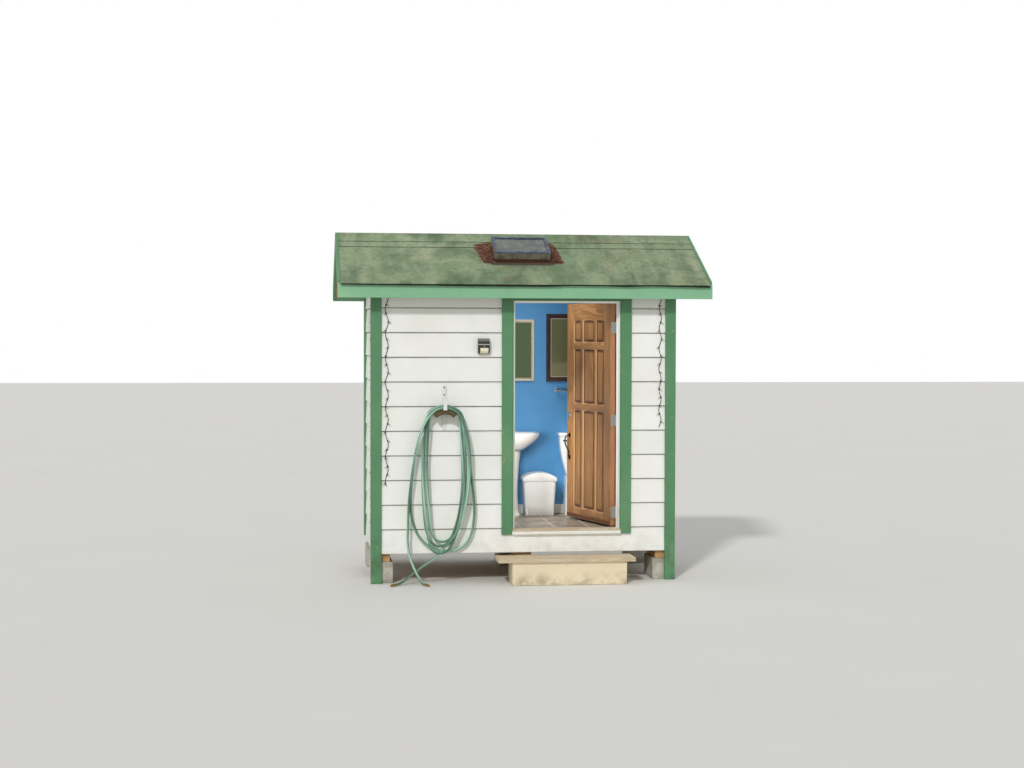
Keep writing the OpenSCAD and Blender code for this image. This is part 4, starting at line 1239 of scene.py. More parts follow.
@dataclass(frozen=True)
class View:
    """The camera at the photograph's place, and plain studio light.

    Its turns are in degrees, its lens and its sensor's width in millimetres.
    """

    place: Point = (-2.0362, -15.9908, 2.2365)
    yaw: float = 7.176
    pitch: float = -1.7266
    roll: float = 0.137
    lens: float = 60.52
    sensor: float = 36.0
    sky: float = 0.49
    sun: float = 1.46
    floor: float = 60.0

    def camera(self) -> None:
        """Sets the camera up."""
        yaw, pitch, roll = (math.radians(a) for a in (self.yaw, self.pitch, self.roll))
        level_out = math.cos(pitch)
        ahead = Vector((math.sin(yaw) * level_out, math.cos(yaw) * level_out, math.sin(pitch)))
        level = Vector((math.cos(yaw), -math.sin(yaw), 0.0))
        rise = level.cross(ahead)
        right = level * math.cos(roll) + rise * math.sin(roll)
        up = rise * math.cos(roll) - level * math.sin(roll)
        data = bpy.data.cameras.new("camera")
        data.sensor_fit, data.sensor_width, data.lens = "HORIZONTAL", self.sensor, self.lens
        data.clip_start, data.clip_end = 0.1, 300.0
        camera = bpy.data.objects.new("camera", data)
        rows = [(right[k], up[k], -ahead[k], self.place[k]) for k in range(3)]
        camera.matrix_world = Matrix([*rows, (0.0, 0.0, 0.0, 1.0)])
        bpy.context.scene.collection.objects.link(camera)
        bpy.context.scene.camera = camera

    def lamp(
        self, name: str, kind: str, place: Point, at: Point, energy: float, **settings: float
    ) -> None:
        """Adds one lamp that isn't seen itself.

        Args:
            name: its name.
            kind: the type of light.
            place: where it stands.
            at: the point that it looks at.
            energy: its power.
            settings: further values of the light.
        """
        data = bpy.data.lights.new(name, kind)
        data.energy = energy
        for key, value in settings.items():
            setattr(data, key, value)
        lamp = bpy.data.objects.new(name, data)
        lamp.location = place
        lamp.rotation_mode = "QUATERNION"
        lamp.rotation_quaternion = (Vector(at) - Vector(place)).to_track_quat("-Z", "Y")
        lamp.visible_camera = lamp.visible_glossy = False
        bpy.context.scene.collection.objects.link(lamp)

    def studio(self) -> None:
        """Lights the scene and lays the floor."""
        scene = bpy.context.scene
        scene.view_settings.view_transform = "Standard"
        world = bpy.data.worlds.new("studio")
        scene.world = world
        world.use_nodes = True
        graph = Graph(world.node_tree)
        path = world.node_tree.nodes.new("ShaderNodeLightPath")
        kinds = ("Camera", "Glossy", "Transmission")
        rays = [Signal(graph, path.outputs[f"Is {kind} Ray"]) for kind in kinds]
        seen = rays[0].most(rays[1]).most(rays[2])
        background = world.node_tree.nodes["Background"]
        background.inputs["Color"].default_value = (1.0, 1.0, 1.0, 1.0)
        graph.feed(background.inputs["Strength"], seen * (1.0 - self.sky) + self.sky)
        disc, spread = math.radians(5), math.radians(140)
        self.lamp("key", "SUN", (-4.0, -9.0, 7.2), (0.0, 0.0, 0.3), self.sun, angle=disc)
        # Inside the hut: light from the doorway, clear of the door's sweep, and light from above
        inside = {"size": 0.3, "spread": spread}
        self.lamp("doorway", "AREA", (-0.10, -0.42, 1.35), (0.5, 0.6, 0.70), 5.0, **inside)
        self.lamp("washroom", "AREA", (0.1, -0.2, 2.66), (0.1, 0.2, 0.5), 9.5, size=0.7)
        s = Surface("studio floor")
        colour = s.blend(s.noise(0.7, 4.0), tone(238, 237, 233), tone(232, 231, 227))
        mesh = bpy.data.meshes.new("studio_floor")
        corners = ((-1, -1), (1, -1), (1, 1), (-1, 1))
        ground = [(x * self.floor, y * self.floor, -0.002) for x, y in corners]
        mesh.from_pydata(ground, [], [(0, 1, 2, 3)])
        mesh.materials.append(s.close(colour, 0.85, s.noise(40.0), 0.0005))
        floor = bpy.data.objects.new("studio_floor", mesh)
        scene.collection.objects.link(floor)


# --- The hose ---------------------------------------------------------------------------------


@dataclass(frozen=True)
class HoseCoil:
    """The garden hose on its wall hook: five hung turns and two ends that reach the ground.

    Depths are from the plane at reach, and the hook's and the saddle's middle are x and z.
    """

    shift: float = 0.040
    hook: float = -0.722
    saddle: float = 1.400
    reach: float = -0.8323
    diameter: float = 0.023
    tail_a: tuple[Point, ...] = (
        (-1.049, -0.008, 0.500), (-1.053, -0.016, 0.380), (-1.036, -0.028, 0.255), (-0.992, -0.044, 0.130),
        (-0.950, -0.066, 0.052), (-0.918, -0.104, 0.017), (-0.894, -0.150, 0.012),
    )
    tail_b: tuple[Point, ...] = (
        (-0.735, 0.0, 0.315), (-0.790, -0.002, 0.250), (-0.873, -0.004, 0.190), (-0.960, -0.008, 0.128),
        (-1.035, -0.020, 0.072), (-1.095, -0.048, 0.028), (-1.145, -0.084, 0.013), (-1.180, -0.124, 0.012),
    )
    rise: tuple[Point, ...] = (
        (-1.046, -0.006, 0.622), (-1.034, -0.004, 0.789), (-1.001, -0.006, 1.045), (-0.962, -0.012, 1.249),
        (-0.908, -0.022, 1.412),
    )
    # Each pass over the saddle: its lift from the saddle's middle and its depth
    passes: tuple[tuple[float, float], ...] = (
        (0.1615, -0.026), (0.1615, 0.026), (0.1615, 0.0), (0.181, -0.013), (0.181, 0.013),
    )
    # What hangs after each pass, from the saddle's right side to its left
    turns: tuple[tuple[Point, ...], ...] = (
        (
            (-0.546, -0.036, 1.401), (-0.514, -0.040, 1.246), (-0.500, -0.038, 1.041), (-0.513, -0.038, 0.852),
            (-0.556, -0.038, 0.647), (-0.616, -0.038, 0.476), (-0.697, -0.034, 0.366), (-0.785, -0.016, 0.336),
            (-0.856, 0.008, 0.396), (-0.892, 0.022, 0.520), (-0.907, 0.028, 0.702), (-0.919, 0.030, 0.959),
            (-0.916, 0.031, 1.163), (-0.891, 0.031, 1.368),
        ),
        (
            (-0.579, 0.029, 1.380), (-0.571, 0.026, 1.260), (-0.564, 0.022, 1.110), (-0.562, 0.022, 0.921),
            (-0.573, 0.022, 0.750), (-0.603, 0.020, 0.579), (-0.651, 0.017, 0.4355), (-0.686, 0.014, 0.390),
            (-0.740, 0.010, 0.373), (-0.794, 0.006, 0.390), (-0.829, 0.003, 0.4355), (-0.848, 0.0, 0.510),
            (-0.864, -0.002, 0.670), (-0.877, -0.002, 0.873), (-0.882, 0.0, 1.095), (-0.870, 0.0, 1.320),
        ),
        (
            (-0.534, 0.003, 1.349), (-0.510, 0.007, 1.161), (-0.483, 0.010, 0.955), (-0.462, 0.012, 0.749),
            (-0.459, 0.018, 0.595), (-0.478, 0.024, 0.457), (-0.530, 0.026, 0.355), (-0.607, 0.026, 0.302),
            (-0.701, 0.026, 0.288), (-0.804, 0.026, 0.303), (-0.893, 0.026, 0.356), (-0.967, 0.024, 0.446),
            (-1.010, 0.022, 0.566), (-1.025, 0.020, 0.703), (-1.020, 0.018, 0.857), (-0.996, 0.018, 1.062),
            (-0.955, 0.016, 1.266), (-0.908, 0.004, 1.402),
        ),
        (
            (-0.536, -0.019, 1.366), (-0.515, -0.017, 1.195), (-0.514, -0.014, 1.007), (-0.527, -0.014, 0.818),
            (-0.565, -0.014, 0.613), (-0.600, -0.015, 0.500), (-0.640, -0.018, 0.390), (-0.672, -0.022, 0.334),
            (-0.704, -0.025, 0.295), (-0.758, -0.026, 0.276), (-0.812, -0.026, 0.293), (-0.848, -0.026, 0.337),
            (-0.876, -0.024, 0.445), (-0.899, -0.022, 0.616), (-0.911, -0.020, 0.856), (-0.914, -0.012, 1.095),
            (-0.899, 0.008, 1.320),
        ),
        (
            (-0.560, 0.020, 1.400), (-0.550, 0.016, 1.281), (-0.541, 0.004, 1.093), (-0.537, 0.007, 0.887),
            (-0.551, 0.010, 0.698), (-0.590, 0.010, 0.510), (-0.652, 0.006, 0.388),
        ),
    )

    def over(self, lift: float, depth: float) -> list[Point]:
        """The arc over the saddle, from its left to its right."""
        return [
            (self.hook - lift * math.cos(a), depth, self.saddle + lift * math.sin(a))
            for a in (math.radians(d) for d in (36, 63, 90, 117, 144))
        ]

    def route(self) -> list[Vector]:
        """The points that the hose passes through, from one end to the other."""
        points = [*reversed(self.tail_a), *self.rise]
        for (lift, depth), turn in zip(self.passes, self.turns):
            points += [*self.over(lift, depth), *turn]
        points += self.tail_b
        return [Vector((x, y + self.reach + self.shift, z)) for x, y, z in points]

    def coupling(self, form: Form, end: Vector, way: Vector) -> None:
        """Draws one brass coupling: a crimped ferrule, a knurled nut and its mouth."""
        most = self.diameter / 2 + 0.0004
        way = Vector((way.x, way.y, 0.0)).normalized()
        back = end - way * 0.018
        crimp = most - 0.0003
        ferrule = [
            (most - 0.0004, 0.0), (most, 0.001), (most, 0.006), (crimp, 0.007), (most, 0.009),
            (most, 0.014), (crimp, 0.015), (most, 0.018), (most, 0.021), (0.0085, 0.022),
        ]
        form.turned(ferrule, back, way)
        turn = way.to_track_quat("Z", "Y")
        nut = []
        for share, h in ((0.90, 0.023), (1.0, 0.025), (1.0, 0.053), (0.90, 0.055)):
            knurl = [(most * share * 0.93, most * share)[k % 2] for k in range(28)]
            ring = [Vector((r * c, r * s, h)) for r, (c, s) in zip(knurl, wheel(28))]
            nut.append([back + turn @ point for point in ring])
        form.loft(nut)
        mouth = [(0.0088, 0.054), (0.0088, 0.060), (0.0080, 0.0615), (0.0055, 0.0615), (0.0050, 0.048)]
        form.turned(mouth, back, way)

    def build(self, shop: Workshop) -> None:
        """Makes the hose and its couplings, and logs the hose's length."""
        line = smooth_path(self.route(), 0.022)
        curve = bpy.data.curves.new("garden_hose", "CURVE")
        curve.dimensions, curve.use_fill_caps = "3D", True
        curve.bevel_depth, curve.bevel_resolution = self.diameter / 2, 3
        spline = curve.splines.new("POLY")
        spline.points.add(len(line) - 1)
        for point, place in zip(spline.points, line):
            point.co = (*place, 1.0)
        spline.use_smooth = True
        hose = bpy.data.objects.new("garden_hose", curve)
        bpy.context.scene.collection.objects.link(hose)
        curve.materials.append(shop.coat(Hose()))
        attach(hose, Body.HUT.value)
        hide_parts("hose_hank", "hose_tails")
        form = Form()
        self.coupling(form, line[0], line[0] - line[2])
        self.coupling(form, line[-1], line[-1] - line[-3])
        brass = Metal("coupling brass", tone(196, 158, 88), tone(112, 92, 60), 0.6, 0.3)
        ends = shop.set_down(
            "hose_ends", form, brass, "coupling_brass", replaces=["hose_couplings"], bevel=0.0004
        )
        length = sum((b - a).length for a, b in zip(line, line[1:]))
        log.info("garden_hose: %.2f m", length)


# --- The hut ----------------------------------------------------------------------------------


@dataclass(frozen=True)
class Hut:
    """The hut's main sizes and lines, shared by its parts; y is from the hut's middle plane."""

    shift: float = 0.040
    half_w: float = 1.340
    half_d: float = 0.750
    inner_w: float = 1.240
    inner_d: float = 0.650
    floor: float = 0.460
    deck: float = 0.450
    sill: float = 0.424
    head: float = 2.510
    plate: float = 2.695
    siding: float = 0.260
    course: float = 0.219
    butt: float = 0.020
    lap: float = 0.009
    corner_w: float = 0.095
    corner_t: float = 0.035
    casing_l: float = -0.206
    casing_r: float = 0.968
    casing_top: float = 2.623
    casing_w: float = 0.095
    roof_w: float = 1.645
    eave: float = 0.950
    drip: float = 0.976
    pitch: float = math.radians(26.5)
    ridge: float = 3.12848
    deck_t: float = 0.012

    def slope(self, x: float, s: float, h: float, side: int = -1) -> Vector:
        """A point of a roof slope.

        Args:
            x: its place along the ridge.
            s: its distance from the ridge, down the slope.
            h: its height over the deck.
            side: -1 on the front slope, 1 on the back one.

        Returns:
            The point in the frame.
        """
        top = self.ridge + self.deck_t / math.cos(self.pitch)
        if abs(s) < 1e-6:
            return Vector((x, self.shift, top + h / math.cos(self.pitch)))
        run = s * math.cos(self.pitch) + h * math.sin(self.pitch)
        rise = h * math.cos(self.pitch) - s * math.sin(self.pitch)
        return Vector((x, side * run + self.shift, top + rise))

    def under(self, y: float) -> float:
        """The height of the deck's underside over a place."""
        return self.ridge - abs(y) * math.tan(self.pitch)


HUT = Hut()
# The grime colour here is also the painted shade under each lap.
SIDING = LapPaint(
    "siding paint", tone(248, 248, 243), Axis.X, tone(238, 238, 228), tone(196, 182, 152),
    tone(150, 144, 120), fade=0.4, chips=0.15, soil=(0.2, 0.6), soiled=0.24,
)
SIDE_SIDING = replace(SIDING, name="side siding paint", grain=Axis.Y)
GREEN_UP = PaintedWood(
    "green trim", tone(88, 140, 98), Axis.Z, tone(120, 158, 118), tone(168, 150, 118),
    tone(72, 80, 58), fade=0.5, chips=0.5, soil=(0.0, 0.75), soiled=0.7,
)
GREEN_RAKE = replace(
    GREEN_UP, name="green trim, rake", grain=Axis.Y, chips=0.45, soil=(0.0, 0.3), soiled=0.5
)
PALE_GREEN = PaintedWood(
    "pale green fascia", tone(134, 188, 148), Axis.X, tone(160, 204, 162), tone(176, 164, 132),
    tone(110, 124, 92), fade=0.5, chips=0.4, soil=(0.0, 0.3), soiled=0.4,
)
WHITE_UP = PaintedWood(
    "white paint", tone(246, 246, 240), Axis.Z, tone(226, 224, 208), tone(176, 160, 130),
    tone(120, 112, 90), fade=0.4, chips=0.3, soil=(0.4, 0.9), soiled=0.5,
)
WHITE_FLAT = replace(
    WHITE_UP, name="white paint, level", grain=Axis.X, chips=0.4, soil=(0.1, 0.5)
)
CREAM = PaintedWood(
    "cream step paint", tone(238, 222, 190), Axis.X, tone(224, 212, 184), tone(190, 168, 134),
    tone(120, 110, 86), fade=0.6, chips=0.5, soil=(0.0, 0.14), soiled=0.7,
)
ROOFING = Roofing()
GALVANISED = Metal("galvanised nails", tone(176, 178, 178), tone(120, 112, 100), 0.6, 0.45)
PAINTED_NAILS = PaintedMetal(
    "painted nail heads", tone(214, 214, 204), tone(142, 112, 84), 0.9, 0.5
)
CHROME = Metal("chrome", tone(216, 218, 220), tone(176, 178, 176), 0.3, 0.09, 60.0)
CHINA = Glaze()


@dataclass(frozen=True)
class Footings:
    """Six cast blocks and the timber packers on them.

    The layers are heights up a block and how far its sides are drawn in there.
    """

    width: float = 0.190
    depth: float = 0.390
    height: float = 0.190
    out: float = 1.271
    middle: float = 0.550
    eased: float = 0.0015
    uneven: float = 0.0014
    layers: Outline = (
        (0.0, 0.001), (0.004, 0.0), (0.05, 0.0), (0.1, 0.0), (0.15, 0.0), (0.183, 0.0),
        (0.188, 0.003), (0.1885, 0.008),
    )

    def build(self, shop: Workshop) -> None:
        """Makes the blocks and paints the packers."""
        form = Form(7)
        for x in (-self.out, 0.0, self.out):
            for side in (-1, 1):
                y = side * self.middle + HUT.shift
                layers = []
                for z, inset in self.layers:
                    w, d = (v / 2 - self.eased - inset for v in (self.width, self.depth))
                    layers.append((z, self.rim(w, d)))
                form.stack(layers, (x, y, 0.0))
        # Without a seed, noise_vector takes its offsets from the clock
        noise.seed_set(7)
        for v in form.bm.verts:
            v.co += noise.noise_vector(v.co * 19.0) * self.uneven
            v.co.z = min(max(v.co.z, 0.0), self.height)
        shop.set_down(
            "blocks", form, Concrete(), "concrete", replaces=["footing_blocks"], bevel=0.003
        )
        packer = Timber(
            "packer timber", tone(216, 176, 120), tone(164, 116, 72), Axis.Y, grey=0.15
        )
        shop.dressed("footing_packers", packer, "bare_timber", 0.002)

    def rim(self, w: float, d: float) -> Outline:
        """A block's outline at one height, divided so that it can be roughened."""
        xs, ys = [w * k / 2 for k in range(-2, 3)], [d * k / 4 for k in range(-4, 5)]
        near = [(x, -d) for x in xs[:-1]] + [(w, y) for y in ys[:-1]]
        far = [(x, d) for x in reversed(xs[1:])] + [(-w, y) for y in reversed(ys[1:])]
        return near + far


@dataclass(frozen=True)
class Floor:
    """Joists, deck, baseboards and a tiled floor laid by a rule."""

    across: int = 8
    along: int = 4
    grout: float = 0.008
    thick: float = 0.0085

    def build(self, shop: Workshop) -> None:
        """Paints the frame, lays the tiles in their grout and dresses the baseboards."""
        joist = Timber("joist timber", tone(206, 176, 126), tone(158, 118, 74), grey=0.35)
        shop.paint(joist, "floor_joists")
        plain = {"grey": 0.1, "checks": 0.1}
        ply = Timber("floor plywood", tone(206, 172, 118), tone(170, 130, 80), **plain)
        shop.paint(ply, "floor_deck")
        self.tiles(shop)
        shop.dressed("baseboards", WHITE_FLAT, "white_paint", 0.003)

    def tiles(self, shop: Workshop) -> None:
        """Lays the tiles: a grid of thin slabs on a bed of grout."""
        half_w, half_d = HUT.inner_w, HUT.inner_d
        sizes = {"Wide": 2 * half_w, "Deep": 2 * half_d, "Grout": self.grout, "Thick": self.thick}
        rule = Rule("floor tiles", **sizes)
        wide, deep, gap, thick = (rule.size(name) for name in sizes)
        size_x, size_y = wide / self.across, deep / self.along
        spread = {"Size X": wide - size_x, "Size Y": deep - size_y}
        count = {"Vertices X": self.across, "Vertices Y": self.along}
        grid = rule.node("GeometryNodeMeshGrid", None, {**spread, **count})
        shape = rule.node(
            "ShaderNodeCombineXYZ", None, {0: size_x - gap, 1: size_y - gap, 2: thick}
        )
        slab = rule.node("GeometryNodeMeshCube", None, {"Size": shape})
        most = (0.0006, 0.0006, 0.002)
        tilt = rule.chance(tuple(-v for v in most), most, "FLOAT_VECTOR", 5)
        laid = rule.shaded(rule.scatter(grid, slab, Rotation=tilt), 4)
        tiles = rule.grow("tiles", rule.coat(laid, shop.coat(FloorTile())))
        height = HUT.floor - self.thick / 2 - 0.0006
        tiles.data.transform(Matrix.Translation((0.0, HUT.shift, height)))
        shop.set_down("tiles", tiles, None, "floor_tile", replaces=["floor_tiles"], bevel=0.0012)
        bed = Form().slab(
            (-half_w, -half_d + HUT.shift, HUT.deck),
            (half_w, half_d + HUT.shift, HUT.floor - 0.0022),
        )
        grout = Concrete("tile grout", tone(232, 224, 206), tone(200, 190, 170))
        shop.set_down("tile_grout", bed, grout, "floor_tile")


class Walls:
    """The wall frames with their painted lining."""

    def build(self, shop: Workshop) -> None:
        """Paints the walls."""
        fronts = [f"front_wall_{part}" for part in ("left", "right", "head")]
        shop.paint(RolledWall(), *fronts, "left_wall", "right_wall", "back_wall")


@dataclass(frozen=True)
class Siding:
    """Lapped boards, nailed course by course.

    The notch is half the gap round the ridge board, and the steps are between a board's rings.
    """

    notch: float = 0.0130
    ridge_foot: float = 0.1402
    front_step: float = 0.13
    other_step: float = 0.16
    courses: int = 11
    gable_courses: int = 14
    top: float = HUT.plate - 0.0499
    nail_columns: tuple[float, ...] = (-1.262, -0.94, -0.6, -0.228, 0.99, 1.262)
    nail_rise: float = 0.026

    def board(
        self,
        form: Form,
        axis: Axis,
        wall: float,
        base: float,
        stops: Sequence[float],
        limit: Callable[[float], tuple[float, float]],
    ) -> None:
        """Draws one board.

        Args:
            form: what it is drawn in.
            axis: the way that it runs.
            wall: the sheathing's face, with the sign of the side that it faces.
            base: the height of its course.
            stops: where its rings stand.
            limit: gives the lowest and the highest height that it may reach at a stop.
        """
        out = math.copysign(1.0, wall)
        seed = form.dice.random() * 50
        foot, top = base + 0.0060, base + HUT.course + 0.0042

        def outline(stop: float) -> Outline:
            """The board's outline at a stop."""
            low, high = limit(stop)
            lip = base + sway(stop, seed, 0.0016, 0.9) + CLEAR
            swell = sway(stop, seed + 5, 0.0008, 1.3)
            points = [
                (CLEAR, foot), (0.0098, foot), (0.0098, lip), (0.0180 + swell, lip),
                (HUT.butt - CLEAR + swell, lip + 0.0016), (0.0192 + swell, base + 0.0140),
                (0.0146 + swell * 0.6, base + HUT.course / 2), (HUT.lap - 0.0001, top), (CLEAR, top),
            ]
            made = []
            for depth, z in points:
                held = min(max(z, low), high)
                if held != z and depth > HUT.lap:
                    slant = (HUT.butt - HUT.lap) * (held - base) / HUT.course
                    depth = min(depth, HUT.butt - CLEAR - slant + swell)
                made.append((wall + out * depth, held))
            return made

        form.prism(outline, axis, stops)

    def split(self, start: float, end: float, *breaks: float) -> list[float]:
        """Even stops, with a close pair round each break."""
        stops = set(spaced(start, end, self.front_step))
        for place in breaks:
            stops = {s for s in stops if abs(s - place) > 0.02}
            stops |= {place - 0.0003, place + 0.0003}
        return sorted(stops)

    def front(self, shop: Workshop) -> None:
        """Sides the front wall round the doorway's casings."""
        edge = HUT.half_w + HUT.corner_t - HUT.corner_w - CLEAR
        left, right = HUT.casing_l - CLEAR, HUT.casing_r + CLEAR
        wall, top = -HUT.half_d + HUT.shift, self.top
        apron, form = Form(11), Form(12)
        stops = self.split(-edge, edge, left, right)
        self.board(
            apron, Axis.X, wall, HUT.siding, stops,
            lambda x: (0.0, HUT.sill - CLEAR if left < x < right else HUT.ridge),
        )
        for number in range(1, self.courses):
            base = HUT.siding + number * HUT.course
            if base + HUT.course > HUT.casing_top:
                self.board(
                    form, Axis.X, wall, base, stops,
                    lambda x: (HUT.casing_top + CLEAR if left < x < right else 0.0, top),
                )
                continue
            for start, end in ((-edge, left), (right, edge)):
                beside = spaced(start, end, self.front_step)
                self.board(form, Axis.X, wall, base, beside, lambda x: (0.0, top))
        shop.set_down("apron_board", apron, SIDING, "white_siding", replaces=["siding_front_base"])
        shop.set_down("front_boards", form, SIDING, "white_siding", replaces=["siding_front"])
        y = wall - HUT.butt - CLEAR + 0.0012
        bases = [HUT.siding + number * HUT.course for number in range(self.courses)]
        heights = [base + self.nail_rise for base in bases]
        nails = [((x, y, z), (0.0, -1.0, 0.05)) for z in heights for x in self.nail_columns]
        shop.fixings("siding_nails", nails, PAINTED_NAILS, "white_siding", 0.0036, 0.0010)

    def back(self, shop: Workshop) -> None:
        """Sides the back wall."""
        edge = HUT.half_w + HUT.corner_t - HUT.corner_w - CLEAR
        stops = spaced(-edge, edge, self.other_step)
        form = Form(15)
        for number in range(self.courses):
            base = HUT.siding + number * HUT.course
            wall = HUT.half_d + HUT.shift
            self.board(form, Axis.X, wall, base, stops, lambda x: (0.0, self.top))
        shop.set_down("back_boards", form, SIDING, "white_siding", replaces=["siding_back"])

    def side(self, shop: Workshop, side: int) -> None:
        """Sides one gable wall up to the roof deck."""
        edge = HUT.half_d - HUT.corner_w + HUT.corner_t - CLEAR
        form, wall = Form(20 + side), side * HUT.half_w
        ends = (HUT.shift - edge, HUT.shift + edge)
        gap = (HUT.shift - self.notch, HUT.shift + self.notch)
        under, free = HUT.ridge - self.ridge_foot, 9.0
        for number in range(self.gable_courses):
            base = HUT.siding + number * HUT.course
            if base + HUT.course + 0.005 < under:
                stops = spaced(*ends, self.other_step)
                self.board(form, Axis.Y, wall, base, stops, lambda y: (0.0, free))
            elif base < under:
                self.board(
                    form, Axis.Y, wall, base, self.split(*ends, *gap),
                    lambda y: (0.0, under if gap[0] < y < gap[1] else free),
                )
        for sign in (-1, 1):
            way = (0.0, sign * math.sin(HUT.pitch), math.cos(HUT.pitch))
            form.cut((0.0, HUT.shift, HUT.ridge - 0.0008), way)
        name = "left" if side < 0 else "right"
        node = f"siding_{name}"
        shop.set_down(f"{name}_boards", form, SIDE_SIDING, "white_siding", replaces=[node])

    def build(self, shop: Workshop) -> None:
        """Sides all four walls."""
        self.front(shop)
        self.back(shop)
        self.side(shop, -1)
        self.side(shop, 1)


@dataclass(frozen=True)
class Trim:
    """Corner boards, casings, the door frame, its threshold and the sill's nose."""

    return_t: float = 0.008
    corner_nails: tuple[float, float] = (1.302, 1.352)
    casing_nails: tuple[float, float] = (0.022, 0.073)

    def build(self, shop: Workshop) -> None:
        """Dresses the boards and drives their nails."""
        shop.dressed("corner_boards", GREEN_UP, "green_trim", 0.0028)
        shop.dressed("door_casings", GREEN_UP, "green_trim", 0.0028)
        shop.dressed("door_frame", WHITE_UP, "white_paint", 0.002)
        weather = {"weather": tone(190, 182, 164), "grey": 0.6, "checks": 0.4}
        oak = Timber("threshold timber", tone(216, 200, 172), tone(168, 144, 112), **weather)
        shop.dressed("door_threshold", oak, "bare_timber", 0.003)
        shop.dressed("door_sill", WHITE_FLAT, "white_paint", 0.002)
        face = -HUT.half_d - HUT.corner_t + HUT.shift
        self.returns(shop, face)
        self.nails(shop, face)

    def returns(self, shop: Workshop, face: float) -> None:
        """Covers the door frame's front edge with narrow boards round the opening."""
        form, inner = Form(29), HUT.casing_w + 0.0003
        front, back = face + 0.001, -HUT.half_d + HUT.shift - 0.0006
        left, right = HUT.casing_l + inner, HUT.casing_r - inner
        for x in (left, right - self.return_t):
            top = (x + self.return_t, back, HUT.head + 0.0060)
            form.slab((x, front, 0.470), top, Axis.Z, 0.3)
        low, high = (left, front, HUT.head + 0.0062), (right, back, HUT.head + 0.0176)
        form.slab(low, high, Axis.X, 0.3)
        shop.set_down("casing_returns", form, GREEN_UP, "green_trim", bevel=0.0015)

    def nails(self, shop: Workshop, face: float) -> None:
        """Drives the nails of the corner boards and of the casings."""
        places = []
        for side in (-1, 1):
            places += [(side * x, 0.36 + k * 0.36) for k in range(7) for x in self.corner_nails]
        for x0 in (HUT.casing_l, HUT.casing_r - HUT.casing_w):
            places += [(x0 + dx, 0.52 + k * 0.39) for k in range(6) for dx in self.casing_nails]
        places += [(HUT.casing_l + 0.15 + k * 0.29, 2.575) for k in range(4)]
        nails = [((x, face, z), (0.0, -1.0, 0.0)) for x, z in places]
        green = PaintedMetal("green nail heads", tone(98, 132, 100), tone(132, 98, 72), 1.0, 0.5)
        shop.fixings("trim_nails", nails, green, "green_trim", 0.0042, 0.0008)


